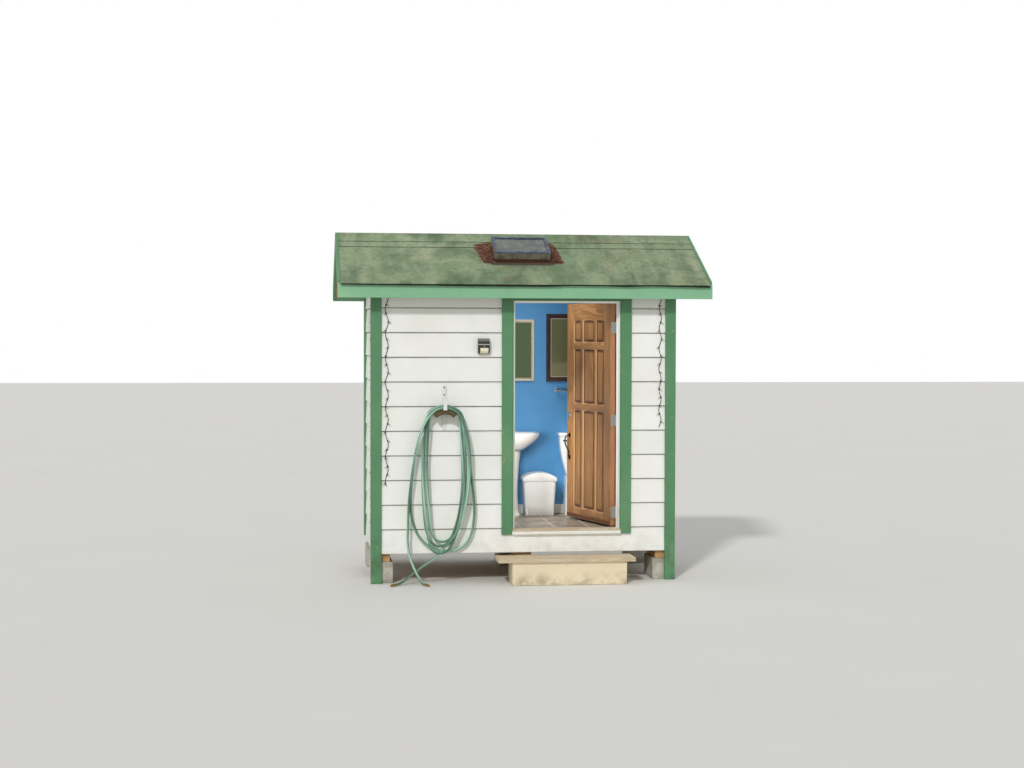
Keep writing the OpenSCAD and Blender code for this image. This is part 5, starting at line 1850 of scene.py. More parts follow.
@dataclass(frozen=True)
class Roof:
    """Rafters, decks, two sheets of roll roofing a slope and a cap, fascias and barge boards.

    The sky is the skylight's opening: its ends along the ridge and down the slope. The sag is the
    share of the lip's length that hangs down at places along the eave. Each sheet has the heights
    of its underside and its top over the deck.
    """

    lap: float = 0.310
    cap: float = 0.190
    sky: tuple[float, float, float, float] = (-0.2458, 0.2458, 0.3112, 0.6428)
    sag: Outline = (
        (-1.70, 0.50), (-1.00, 0.72), (-0.38, 0.95), (0.16, 1.0), (0.38, 0.56),
        (0.66, 0.62), (0.85, 0.84), (1.12, 0.54), (1.70, 1.0),
    )
    lower_sheet: tuple[float, float] = (0.0003, 0.0044)
    upper_sheet: tuple[float, float] = (0.0046, 0.0076)
    cap_sheet: tuple[float, float] = (0.0081, 0.0104)
    grid: float = 0.05
    # How many rows of the lower sheet's lip are painted near black, as painted shadow under the overhang.
    shadowed_lip_rows: int = 4

    def hang(self, x: float) -> float:
        """How much of the lip's length hangs down at a place along the eave."""
        for (x0, share0), (x1, share1) in zip(self.sag, self.sag[1:]):
            if x <= x1:
                turn = (x - x0) / (x1 - x0)
                return share0 + (share1 - share0) * turn * turn * (3.0 - 2.0 * turn)
        return self.sag[-1][1]

    def sheet(
        self,
        form: Form,
        xs: Sequence[float],
        rows: Sequence[float],
        place: Callable[[float, float, float], Vector],
        low: Callable[[float, float], float],
        high: Callable[[float, float], float],
        hole: Callable[[float, float], bool] = lambda x, s: False,
        edges: Sequence[int] = (),
    ) -> None:
        """Draws a closed sheet over a grid.

        Args:
            form: what it is drawn in.
            xs, rows: the grid's places along the ridge and down the slope.
            place: turns a place and a height into a point.
            low, high: the underside's and the top's heights.
            hole: whether a cell's middle lies in a hole.
            edges: the rows painted near black: painted shadow on the eave's lip, bitumen with painted shadow
                at the laps.
        """
        bm = form.bm
        tops, lows = {}, {}
        for i, x in enumerate(xs):
            for j, s in enumerate(rows):
                for skin, height in ((tops, high), (lows, low)):
                    skin[i, j] = bm.verts.new(place(x, s, height(x, s)))
                    # Marked rows get the roofing's near-black painted shadow and bitumen.
                    skin[i, j][form.marks["pool"]] = float(j in edges)
        cells = {
            (i, j) for i in range(len(xs) - 1) for j in range(len(rows) - 1)
            if not hole((xs[i] + xs[i + 1]) / 2, (rows[j] + rows[j + 1]) / 2)
        }
        for i, j in cells:
            ring = [(i, j), (i + 1, j), (i + 1, j + 1), (i, j + 1)]
            bm.faces.new([tops[c] for c in ring])
            bm.faces.new([lows[c] for c in reversed(ring)])
            beyond = [(i, j - 1), (i + 1, j), (i, j + 1), (i - 1, j)]
            for k, other in enumerate(beyond):
                if other not in cells:
                    a, b = ring[k], ring[(k + 1) % 4]
                    bm.faces.new([tops[b], tops[a], lows[a], lows[b]])
        loose = [v for v in bm.verts if not v.link_faces]
        bmesh.ops.delete(bm, geom=loose, context="VERTS")

    def lower(self, side: int) -> Callable[[float, float, float], Vector]:
        """The way that the lower sheet lies: down the slope, over the fascia and down as a wavy lip."""
        flat = self.flat_end()

        def place(x: float, s: float, h: float) -> Vector:
            """A point of the sheet."""
            if s <= flat:
                return HUT.slope(x, s, h, side)
            drop = s - flat
            base = HUT.slope(x, flat, 0.0, side)
            broad, fine = Vector((x * 5.0, side * 3.0, 1.0)), Vector((x * 17.0, side, 4.0))
            wave = noise.noise(broad) + 0.5 * noise.noise(fine)
            turn = min(1.0, drop / 0.008)
            reach = HUT.drip - 0.0006 - (0.0045 - h) * 0.9 - 0.0030 * (0.5 + 0.5 * wave) * turn
            y = side * reach + HUT.shift
            hang = min(1.0, self.hang(-side * x) + 0.08 * wave)
            z = base.z + h * math.cos(HUT.pitch) * (1 - turn) - 0.0012 - (drop - 0.002) * hang
            return Vector((x, y, z))

        return place

    def flat_end(self) -> float:
        """How far the lower sheet runs down the slope before its lip turns down."""
        return (HUT.drip - 0.0080) / math.cos(HUT.pitch)

    def ripple(self, x: float, s: float, seed: float, size: float) -> float:
        """Small waves of a sheet that doesn't lie quite flat."""
        return size * noise.noise(Vector((x * 3.2, s * 5.0, seed)))

    def slope_sheets(self, shop: Workshop, side: int, node: str) -> None:
        """Lays a slope's lower sheet, round the skylight in front, and its upper sheet over it."""
        form, flat, sky = Form(30 + side), self.flat_end(), self.sky
        xs = sorted(set(spaced(-HUT.roof_w, HUT.roof_w, self.grid)) | set(sky[:2]))
        xs = [x for x in xs if x in sky[:2] or min(abs(x - e) for e in sky[:2]) > 0.012]
        rows = [
            0.296, 0.304, sky[2], 0.33, 0.40, 0.47, 0.54, 0.60, sky[3], 0.70, 0.77, 0.84, 0.91,
            0.98, 1.03, 1.06, flat, *(flat + d for d in (0.004, 0.008, 0.013, 0.018, 0.024)),
        ]
        low, high = self.lower_sheet

        def bowed(x: float, s: float) -> float:
            """The lower sheet's top, which lies flat under the upper sheet."""
            return high + (0.0 if s < 0.32 else self.ripple(x, s, side * 7.0, 0.0016))

        def opening(x: float, s: float) -> bool:
            """Whether a place lies in the skylight's opening."""
            return side < 0 and sky[0] < x < sky[1] and sky[2] < s < sky[3]

        self.sheet(
            form, xs, rows, self.lower(side), lambda x, s: low, bowed, opening,
            range(len(rows) - self.shadowed_lip_rows, len(rows)),
        )
        rows = [0.0, 0.012, 0.06, 0.12, 0.18, 0.24, 0.29, 0.303, self.lap]
        under, over = self.upper_sheet

        def torn(x: float, s: float, h: float) -> Vector:
            """A point of the upper sheet, whose lower edge is cut unevenly."""
            if s >= 0.303:
                s += 0.0022 * noise.noise(Vector((x * 4.0, side * 5.0, 2.0))) - 0.0022
            return HUT.slope(x, s, h, side)

        self.sheet(
            form, xs, rows, torn, lambda x, s: low if s < 0.29 else under,
            lambda x, s: over + self.ripple(x, s, side * 9.0, 0.0004), edges=(len(rows) - 1,),
        )
        name = f"{node}_sheets"
        shop.set_down(name, form, ROOFING, "roll_roofing", replaces=[node], angle=60.0)

    def cap_strip(self, shop: Workshop) -> None:
        """Folds the cap over the ridge."""
        form, (low, high) = Form(33), self.cap_sheet
        half = [0.014, 0.06, 0.12, 0.183, self.cap]
        rows = [*(-s for s in reversed(half)), 0.0, *half]

        def folded(x: float, s: float, h: float) -> Vector:
            """A point of the cap; s is negative on the front slope, and both edges waver."""
            torn = (0.0015 + 0.0015 * noise.noise(Vector((x * 4.4, s, 6.0)))) * (abs(s) > 0.185)
            return HUT.slope(x, abs(s) - torn, h, -1 if s < 0 else 1)

        self.sheet(
            form, spaced(-HUT.roof_w, HUT.roof_w, self.grid), rows, folded, lambda x, s: low,
            lambda x, s: high + self.ripple(x, s, 4.0, 0.0006), edges=(0, len(rows) - 1),
        )
        name = "ridge_cap_sheet"
        shop.set_down(name, form, ROOFING, "roll_roofing", replaces=["ridge_cap"], angle=60.0)

    def roofing(self, shop: Workshop) -> None:
        """Lays both slopes and the cap, and nails them."""
        self.slope_sheets(shop, -1, "roofing_front")
        self.slope_sheets(shop, 1, "roofing_back")
        self.cap_strip(shop)
        nails = []
        for k in range(34):
            x = -1.60 + k * 0.097
            for side in (-1, 1):
                way = (0.0, side * math.sin(HUT.pitch), math.cos(HUT.pitch))
                for s, h in ((0.172, self.cap_sheet[1]), (0.294, 0.0077)):
                    astray = 0.01 * noise.noise(Vector((k, s, side)))
                    nails.append((HUT.slope(x + astray, s, h, side), way))
        shop.fixings("roofing_nails", nails, GALVANISED, "roll_roofing", 0.0050, 0.0012)

    def build(self, shop: Workshop) -> None:
        """Makes the roof."""
        sawn = Timber("ridge timber", tone(214, 184, 134), tone(168, 128, 84), grey=0.25)
        shop.paint(replace(sawn, name="rafter timber", grain=Axis.Y), "rafters")
        shop.paint(sawn, "ridge_board")
        shop.paint(WHITE_FLAT, "eave_blocking")
        plain = {"grey": 0.2, "checks": 0.15}
        deck = Timber("roof plywood", tone(212, 178, 124), tone(176, 134, 84), **plain)
        shop.paint(deck, "roof_deck_front", "roof_deck_back")
        self.roofing(shop)
        shop.dressed("fascias", PALE_GREEN, "pale_green_trim", 0.0022)
        shop.dressed("barge_boards", GREEN_RAKE, "green_trim", 0.0022)
        nails = []
        for side in (-1, 1):
            y, way = side * HUT.eave + HUT.shift, (0.0, float(side), 0.0)
            for k in range(6):
                for dz in (-0.035, -0.088):
                    nails.append(((-1.5 + k * 0.6, y, HUT.under(HUT.eave) + dz), way))
        heads = ("pale green nail heads", tone(134, 176, 146), tone(132, 98, 72), 1.0, 0.5)
        shop.fixings(
            "fascia_nails", nails, PaintedMetal(*heads), "pale_green_trim", 0.0042, 0.0008
        )


@dataclass(frozen=True)
class Skylight:
    """A glazed curb on the front slope, with drifts of pine needles against its sides."""

    half: float = 0.245
    top: float = 0.312
    count: int = 1500
    # The flashing's strips: ends along the ridge and down the slope, and its two heights
    strips: tuple[tuple[float, float, float, float], ...] = (
        (-0.285, -0.2456, 0.302, 0.672), (0.2456, 0.285, 0.302, 0.672),
        (-0.285, 0.285, 0.6426, 0.690),
    )
    flashing: tuple[float, float] = (0.0062, 0.0086)

    def needles(self, shop: Workshop) -> None:
        """Scatters the needles: each is an instance on a seeded point of a drift."""
        dice = random.Random(41)
        points, turns = [], []
        for side, reach in ((-1, 0.150), (1, 0.115)):
            for _ in range(self.count):
                s = dice.uniform(self.top - 0.055, self.top + 0.335)
                along = (s - self.top + 0.055) / 0.39
                wide = reach * (1.0 - 0.42 * along if side < 0 else 0.62 + 0.38 * along)
                out = dice.random() ** 1.15 * wide
                crest = math.sin(math.pi * min(1.0, 0.12 + along * 0.9)) ** 0.7
                pile = (1.0 - (out / wide) ** 2) * 0.058 * crest
                h = 0.0085 + dice.random() ** 0.6 * pile
                points.append(HUT.slope(side * (self.half + 0.014 + out), s, h, -1))
                tilt = HUT.pitch * 0.9 + dice.uniform(-0.35, 0.35) * (0.3 + pile * 14)
                turns.append((tilt, dice.uniform(-0.25, 0.25), dice.uniform(0.0, math.tau)))
        bed = seedbed("needle bed", points, "lie", turns)
        rule = Rule("pine needles", Length=0.045, Thick=0.0013)
        sizes = {"Radius": rule.size("Thick"), "Depth": rule.size("Length")}
        shape = {"Vertices": 4, "Side Segments": 2, **sizes}
        stick = rule.node("GeometryNodeMeshCylinder", None, shape)
        lying = {"Geometry": stick, "Rotation": (0.0, math.pi / 2, 0.0)}
        flat = rule.node("GeometryNodeTransform", None, lying)
        spread = {"Rotation": rule.given("lie"), "Scale": rule.chance(0.5, 1.15)}
        laid = rule.shaded(rule.scatter(rule.size("Geometry"), flat, **spread), 8)
        grown = rule.grow("pine_needles", rule.coat(laid, shop.coat(Litter())), bed)
        shop.set_down("pine_needles", grown, None, "dark_timber")

    def build(self, shop: Workshop) -> None:
        """Makes the curb, the metal frame, the glass and the needles."""
        weather = {"weather": tone(84, 66, 54), "grey": 0.25, "checks": 0.6}
        wood = Timber("curb timber", tone(92, 54, 38), tone(52, 28, 18), **weather)
        shop.dressed("skylight_curb", wood, "dark_timber", 0.002)
        shop.dressed("skylight_frame", SkyMetal(), "skylight_metal", 0.0018)
        glass = Pane("skylight glass", tone(62, 82, 76), 0.35)
        shop.dressed("skylight_glass", glass, "skylight_glass", 0.001)
        form = Form(44)
        for x0, x1, s0, s1 in self.strips:
            corners = [(x0, s0), (x1, s0), (x1, s1), (x0, s1)]
            form.loft([[HUT.slope(x, s, h, -1) for x, s in corners] for h in self.flashing])
        metal = PaintedMetal("skylight flashing", tone(92, 84, 74), tone(118, 78, 50), 1.0, 0.6)
        shop.set_down("skylight_flashing", form, metal, "skylight_metal", bevel=0.0008)
        self.needles(shop)


@dataclass(frozen=True)
class Step:
    """The baked tread on its painted base."""

    left: float = -0.2655
    width: float = 1.227
    front: float = -1.016
    back: float = -0.730
    low: float = 0.202
    high: float = 0.240

    def build(self, shop: Workshop) -> None:
        """Makes the tread with a cupped top and checked ends, and dresses the base."""
        form = Form(51)
        rings = spaced(self.left, self.left + self.width, 0.045)

        def outline(stop: float) -> Outline:
            """The tread's outline, cupped a little and worn in the middle."""
            front, back, low, high = self.front, self.back, self.low, self.high
            share = (stop - self.left) / self.width
            wear = 0.0022 * math.exp(-(((share - 0.55) / 0.22) ** 2))
            dent = abs(0.0012 * noise.noise(Vector((stop * 9.0, 2.0, 0.0))))
            made = [
                (front + 0.004, low), (front + 0.0012 + dent, low + 0.006),
                (front + 0.0010 + dent, high - 0.010), (front + 0.0034, high - 0.004),
                (front + 0.009, high - 0.0012 - wear),
            ]
            for k in range(1, 8):
                y = front + 0.009 + (back - 0.004 - front - 0.009) * k / 7
                cup = 0.0014 * math.sin(math.pi * k / 7)
                made.append((y, high - 0.0010 - cup - wear * math.sin(math.pi * k / 9)))
            rear = [(back - 0.001, high - 0.003), (back - 0.001, low + 0.002), (back - 0.003, low)]
            return made + rear

        form.prism(outline, Axis.X, rings)
        weather = {"weather": tone(192, 182, 160), "grey": 0.6, "checks": 0.75, "rough": 0.8}
        baked = Timber("baked tread", tone(230, 211, 180), tone(178, 151, 115), **weather)
        shop.set_down(
            "tread_board", form, baked, "baked_tread", replaces=["step_tread"], bevel=0.0015
        )
        shop.dressed("step_base", CREAM, "pale_timber", 0.003)
        places = [(self.left + 0.16 + k * 0.30, y) for k in range(4) for y in (-0.965, -0.79)]
        nails = [((x, y, self.high - 0.0016), (0.0, 0.0, 1.0)) for x, y in places]
        rusty = Metal("tread nails", tone(132, 110, 90), tone(96, 62, 44), 0.9, 0.6)
        shop.fixings("tread_nails", nails, rusty, "baked_tread", 0.0045, 0.0006)


# --- The door ---------------------------------------------------------------------------------


@dataclass(frozen=True)
class Door:
    """The panelled leaf with its hinges, handle, deadbolt and sweep, drawn closed and swung open."""

    free: float = -0.088
    width: float = 0.938
    thick: float = 0.044
    face: float = -0.694
    low: float = 0.480
    high: float = 2.505
    hinge: tuple[float, float] = (0.8525, -0.644)
    open: float = 74.0
    columns: Outline = ((0.160, 0.305), (0.358, 0.580), (0.633, 0.778))
    rows: Outline = ((2.150, 2.340), (1.575, 2.070), (0.588, 1.495))
    moulding: float = 0.014
    recess: float = 0.009
    eased: float = 0.0015
    hinges: tuple[float, ...] = (0.600, 1.436, 2.280)
    # The handle's place across the leaf, its grip's height and the deadbolt's
    backset: float = 0.062
    grip: float = 1.150
    bolt: float = 1.450
    # The grip's line: depth from the face and height from its middle, in millimetres
    bow: Outline = (
        (-6, 106), (-18, 105), (-33, 98), (-45, 82), (-50, 60), (-49, 36), (-41, 10),
        (-29, -13), (-18, -33), (-12, -53), (-10, -72), (-11, -88), (-13, -100), (-6, -107),
    )

    def swing(self) -> Matrix:
        """The move from the closed leaf's own places to the open leaf in the frame."""
        x, y = self.hinge
        pivot = Matrix.Translation((x, y + HUT.shift, 0.0))
        turn = Matrix.Rotation(math.radians(-self.open), 4, "Z")
        home = Matrix.Translation((-x, -y, 0.0)) @ Matrix.Translation((self.free, self.face, 0.0))
        return pivot @ turn @ home

    def edge(self, low: float, high: float, at_low: bool, at_high: bool) -> Outline:
        """A member's outline, with a moulded slope on the sides that meet a panel.

        Args:
            low, high: its two sides.
            at_low, at_high: whether each side meets a panel.

        Returns:
            Points of (place across, depth from the front face).
        """
        bends = ((0.0, 1.0), (0.45, 0.72), (0.55, 0.30), (1.0, 0.0))
        sloped = [(self.moulding * a, self.recess * b) for a, b in bends]
        square = [(0.0, self.eased), (self.eased, 0.0)]
        near, far = sloped if at_low else square, sloped if at_high else square
        t = self.thick
        points = [(low, t - near[0][1])] + [(low + a, b) for a, b in near]
        points += [(high - a, b) for a, b in reversed(far)]
        points += [(high - a, t - b) for a, b in far]
        return points + [(low + a, t - b) for a, b in reversed(near[1:])]

    def stain(self, form: Form) -> None:
        """Marks where stain pools, where the upright moulding slopes get a painted highlight and where edges
        are worn.
        """
        round_panel, edge, lap, lip = 0.016, 0.001, self.moulding + 0.0005, 0.004
        for v in form.bm.verts:
            x, z = v.co.x, v.co.z
            deep = min(v.co.y, self.thick - v.co.y) / self.recess
            between = any(a - round_panel < x < b + round_panel for a, b in self.columns)
            inside = any(a - round_panel < z < b + round_panel for a, b in self.rows)
            v[form.marks["pool"]] = min(1.0, max(0.0, deep)) * float(between and inside)
            at_edge = x > self.width - edge or x < edge
            at_hinge = x > self.width - edge and any(abs(z - h) < 0.07 for h in self.hinges)
            v[form.marks["wear"]] = 0.2 if at_hinge else 0.9 if at_edge else 0.0
            # The upright slopes beside each column of panels carry the painted highlight, in "board".
            beside = any(a - lap < x < a + lip or b - lip < x < b + lap for a, b in self.columns)
            v[form.marks["board"]] = float(beside and inside and 0.1 < deep < 0.9)

    def leaf(self, shop: Workshop) -> None:
        """Joins stiles, rails and mullions round nine raised panels."""
        form, stile, lap = Form(61), self.columns[0][0], self.moulding
        inner = self.width - stile
        up = spaced(self.low, self.high, 0.12)
        form.prism(self.edge(0.0, stile, False, True), Axis.Z, up)
        form.prism(self.edge(inner, self.width, True, False), Axis.Z, up)
        bounds = [self.high] + [z for low, high in self.rows for z in (high, low)] + [self.low]
        for number in range(0, len(bounds), 2):
            top, bottom = bounds[number], bounds[number + 1]
            shape = [(v, z) for z, v in self.edge(bottom, top, number < 6, number > 0)]
            form.prism(shape, Axis.X, spaced(stile - lap, inner + lap, 0.1))
        for low, high in self.rows:
            up = spaced(low - lap, high + lap, 0.1)
            for (_, left), (right, _) in zip(self.columns, self.columns[1:]):
                form.prism(self.edge(left, right, True, True), Axis.Z, up)
        for low, high in self.rows:
            for left, right in self.columns:
                self.panel(form, left, right, low, high)
        self.stain(form)
        self.hang(shop, "leaf_panelled", form, StainedDoor(), "stained_door", "door_leaf")

    def hang(
        self,
        shop: Workshop,
        name: str,
        form: Form,
        finish: object,
        slot: str,
        node: str,
        bevel: float = 0.0,
        angle: float = 30.0,
    ) -> None:
        """Swings a form drawn on the closed leaf open, and sets it on the door.

        Args:
            shop: the workshop.
            name: the piece's name.
            form: its form.
            finish: its finish.
            slot: the record's material slot.
            node: the CAD node that it stands for.
            bevel: the width of its worn edges.
            angle: edges sharper than this stay sharp, in degrees.
        """
        form.move(self.swing())
        shop.set_down(name, form, finish, slot, Body.DOOR, [node], bevel, angle)

    def panel(self, form: Form, left: float, right: float, low: float, high: float) -> None:
        """Draws one panel, raised on both faces.

        Args:
            form: the leaf's form.
            left, right: the panel's sides across the leaf.
            low, high: its foot and its top.
        """
        rings = []
        profile = [
            (0.029, 0.0017), (0.0262, 0.0020), (0.0250, 0.0032), (0.0102, 0.0090),
            (0.0096, 0.0112), (0.0, 0.0115),
        ]
        for inset, depth in profile + [(i, self.thick - d) for i, d in reversed(profile)]:
            x0, x1, z0, z1 = left + inset, right - inset, low + inset, high - inset
            corners = ((x0, z0), (x1, z0), (x1, z1), (x0, z1))
            rings.append([Vector((x, depth, z)) for x, z in corners])
        seed = form.dice.random() * 40
        for row in form.loft(rings):
            for v in row:
                v[form.fibre] = Vector((v.co.z + seed, v.co.x + seed, v.co.y + seed * 0.3))

    def butts(self, shop: Workshop) -> None:
        """Makes the butt hinges: the leaf's plates and knuckles, the jamb's knuckles and pins."""
        steel = Metal("hinge steel", tone(204, 208, 212), tone(150, 148, 142), 0.4, 0.36)
        height, radius, count = 0.102, 0.006, 5
        step, play, ease = height / count, 0.0003, 0.0005
        x, y = self.hinge[0] - self.free, self.hinge[1] - self.face
        edge = self.width + 0.0001
        screw = [(0.0038, -0.0005), (0.0038, 0.0001), (0.0022, 0.0006), (0.0, 0.0007)]
        pin = [(0.0, 0.0), (0.0052, 0.0), (0.0052, 0.0018), (0.0034, 0.0038), (0.0, 0.004)]
        moving, fixed = Form(65), Form(66)
        for z in self.hinges:
            base = z - height / 2
            low, high = (self.width - 0.0019, y - radius - 0.041), (edge, y - radius + 0.004)
            moving.slab((*low, base), (*high, base + height), Axis.Z, 0.2)
            for k in range(count):
                z0, z1 = base + k * step + play, base + (k + 1) * step - play
                long, small = z1 - z0, radius - ease
                ring = [(small, 0.0), (radius, ease), (radius, long - ease), (small, long)]
                form = moving if k % 2 else fixed
                form.turned([(0.0, 0.0), *ring, (0.0, long)], (x, y, z0), sides=20)
                if k % 2:
                    low = (x - radius + ease, y - radius - 0.0014, z0)
                    form.slab(low, (x - radius + 0.0025, y, z1), Axis.Z, 0.2)
            fixed.turned(pin, (x, y, base + height), sides=16)
            for dz in (-0.037, 0.0, 0.037):
                for dy, shift in ((-0.011, -0.008), (-0.025, 0.008)):
                    at = (edge, y - radius + dy, z + dz + shift)
                    moving.turned(screw, at, (1, 0, 0), 12)
        fixed.move(Matrix.Translation((self.free, self.face + HUT.shift, 0.0)))
        self.hang(shop, "leaf_hinges", moving, steel, "hinge_steel", "door_hinges")
        node = ["jamb_hinges"]
        shop.set_down("frame_knuckles", fixed, steel, "hinge_steel", replaces=node, angle=30.0)

    def plate(self, form: Form, z: float, half: tuple[float, float], stops: Outline) -> None:
        """Draws a flat key shape on the deadbolt.

        Args:
            form: the deadbolt's form.
            z: the height of its middle.
            half: its half width and half height.
            stops: its rings, as a depth and a share of its size.
        """
        corners = [(x * half[0], up * half[1]) for x, up in ((-1, -1), (1, -1), (1, 1), (-1, 1))]
        form.loft([
            [Vector((self.backset + a * share, depth, z + c * share)) for a, c in corners]
            for depth, share in stops
        ])

    def lock(self, shop: Workshop) -> None:
        """Makes the bowed grip on its two roses, the inner knob and the deadbolt."""
        bronze = Metal("dark bronze", tone(66, 54, 44), tone(36, 30, 26), 0.7, 0.35)
        form, x, z, t = Form(67), self.backset, self.grip, self.thick
        rose, stops = oval(0.0190, 0.0225, 0.0225, 2.0, 32), (0.0, -0.0042, -0.0068, -0.0080)
        for rise in (-0.106, 0.106):
            form.loft([
                [Vector((x + a * share, depth, z + rise + b * share)) for a, b in rose]
                for depth, share in zip(stops, (1.0, 1.0, 0.90, 0.62))
            ])
        bow = [Vector((x, depth / 1000, z + rise / 1000)) for depth, rise in self.bow]
        path = smooth_path(bow, 0.008)
        form.tube(path, lambda share: 0.0052 + 0.0008 * math.sin(math.pi * share) ** 2, 14)
        knob = [
            (0.0, 0.0), (0.030, 0.0), (0.0300, 0.0030), (0.0270, 0.0050), (0.0150, 0.0085),
            (0.0112, 0.0140), (0.0110, 0.0220), (0.0130, 0.0290), (0.0200, 0.0345),
            (0.0250, 0.0410), (0.0268, 0.0480), (0.0250, 0.0560), (0.0190, 0.0615),
            (0.0100, 0.0642), (0.0, 0.0650),
        ]
        form.turned(knob, (x, t, z + 0.095), (0, 1, 0), 36)
        self.hang(shop, "handle_set", form, bronze, "dark_bronze", "door_handle", 0.0006, 32.0)
        bolt, z = Form(68), self.bolt
        outer = [
            (0.0, 0.0), (0.0280, 0.0), (0.0280, 0.003), (0.0268, 0.0052), (0.0240, 0.0120),
            (0.0232, 0.0134), (0.0200, 0.0140), (0.0110, 0.0138), (0.0106, 0.0118), (0.0, 0.0118),
        ]
        bolt.turned(outer, (x, 0.0, z), (0, -1, 0), 36)
        self.plate(bolt, z, (0.0012, 0.0042), ((-0.0110, 1.0), (-0.0132, 1.0)))
        inner = [
            (0.0, 0.0), (0.0280, 0.0), (0.0280, 0.0045), (0.0262, 0.0078), (0.0120, 0.0100),
            (0.0, 0.0100),
        ]
        bolt.turned(inner, (x, t, z), (0, 1, 0), 36)
        stops = ((0.008, 0.8), (0.014, 0.82), (0.0225, 1.0), (0.0240, 0.9))
        self.plate(bolt, z, (0.0055, 0.019), [(t + depth, share) for depth, share in stops])
        nickel = Metal("deadbolt nickel", tone(244, 240, 228), tone(204, 194, 172), 0.4, 0.34)
        self.hang(shop, "deadbolt_set", bolt, nickel, "dark_bronze", "door_deadbolt", 0.0006, 32.0)

    def sweep(self, shop: Workshop) -> None:
        """Makes the sweep: a ribbed holder with screws and a rubber fin."""
        side = 0.0152
        form, left, right = Form(69), side, self.width - side
        shape = [(-0.0002, 0.5198), (-0.0040, 0.5198), (-0.0062, 0.5170)]
        for k in range(5):
            z = 0.5130 - k * 0.0044
            rib = ((0.0062, 0.0), (0.0078, 0.0010), (0.0078, 0.0026), (0.0062, 0.0034))
            shape += [(-out, z - down) for out, down in rib]
        shape += [
            (-0.0062, 0.4900), (-0.0052, 0.4880), (-0.0070, 0.4803), (-0.0040, 0.4802),
            (-0.0030, 0.4870), (-0.0002, 0.4890),
        ]
        form.prism(shape, Axis.X, spaced(left, right, 0.1))
        screw = [(0.0036, 0.0), (0.0034, 0.0008), (0.0, 0.0013)]
        for k in range(6):
            form.turned(screw, (left + 0.04 + k * 0.165, -0.0076, 0.5025), (0, -1, 0), 12)
        rubber = Moulded("sweep rubber", tone(112, 74, 50), tone(146, 112, 84), 0.5, 0.6)
        self.hang(shop, "sweep_ribbed", form, rubber, "sweep_rubber", "door_sweep")

    def build(self, shop: Workshop) -> None:
        """Makes the door."""
        self.leaf(shop)
        self.butts(shop)
        self.lock(shop)
        self.sweep(shop)


# --- Lights and the hose's hook ---------------------------------------------------------------


@dataclass(frozen=True)
class WallLight:
    """A solar lamp: a black case, a ribbed cell on its sloping top, a sensor and a pale bent window."""

    x: float = -0.372
    z: float = 2.041
    width: float = 0.105
    wall: float = -0.769
    profile: Outline = (
        (0.0, 0.0005), (-0.0215, 0.0005), (-0.0470, 0.0240), (-0.0505, 0.0980),
        (-0.0292, 0.1372), (-0.0060, 0.1372), (0.0, 0.1300),
    )
    window: Outline = (
        (-0.0278, 0.0072), (-0.0466, 0.0246), (-0.0478, 0.0540), (-0.0493, 0.0540),
        (-0.0482, 0.0240), (-0.0292, 0.0064),
    )
    ribs: int = 11

    def place(self, points: Outline) -> Outline:
        """Moves an outline from the lamp's foot at the wall into the frame."""
        return [(self.wall + HUT.shift + y, self.z + z) for y, z in points]

    def build(self, shop: Workshop) -> None:
        """Makes the lamp."""
        half, y = self.width / 2 - 0.0006, self.wall + HUT.shift
        form = Form(71)
        form.prism(self.place(self.profile), Axis.X, [self.x - half, self.x, self.x + half])
        case = Moulded("lamp case", tone(30, 30, 29), tone(96, 92, 84), 0.35, 0.35)
        shop.set_down("lamp_case", form, case, "lamp_housing", replaces=["wall_light"], bevel=0.003)
        lens = Form(72)
        lens.prism(self.place(self.window), Axis.X, [self.x - 0.0325, self.x + 0.0395])
        glow = Moulded("lamp lens", tone(240, 234, 204), tone(196, 186, 150), 0.4, 0.25)
        shop.set_down("lamp_lens", lens, glow, "lamp_housing", bevel=0.0005)
        trim, left, right = Form(73), self.x - half + 0.002, self.x + half - 0.002
        # The strips over the window and at the foot, as depths and heights
        strips = ((0.0515, 0.0488, 0.0815, 0.0885), (0.0258, 0.0215, 0.0008, 0.0030))
        for d0, d1, z0, z1 in strips:
            low, high = (left, y - d0, self.z + z0), (right, y - d1, self.z + z1)
            trim.slab(low, high, Axis.X, 0.06)
        low, high = Vector((0.0, -0.0424, 0.1128)), Vector((0.0, -0.0300, 0.1356))
        out = Vector((0.0, -0.0008, 0.0003))
        corners = ((low, -1), (low, 1), (high, 1), (high, -1))
        for k in range(self.ribs):
            base = Vector((self.x + (k - (self.ribs - 1) / 2) * 0.0090, y, self.z))
            trim.loft([
                [base + end + lift + Vector((side * 0.0014, 0.0, 0.0)) for end, side in corners]
                for lift in (out * -1.5, out)
            ])
        sensor = [(0.0, 0.0), (0.0052, 0.0), (0.0048, 0.0020), (0.0, 0.0026)]
        trim.turned(sensor, (self.x + 0.003, y - 0.0484, self.z + 0.0670), (0, -1, 0), 16)
        pale = Moulded("lamp trim", tone(196, 194, 184), tone(150, 146, 130), 0.3, 0.3)
        shop.set_down("lamp_trim", trim, pale, "lamp_housing")


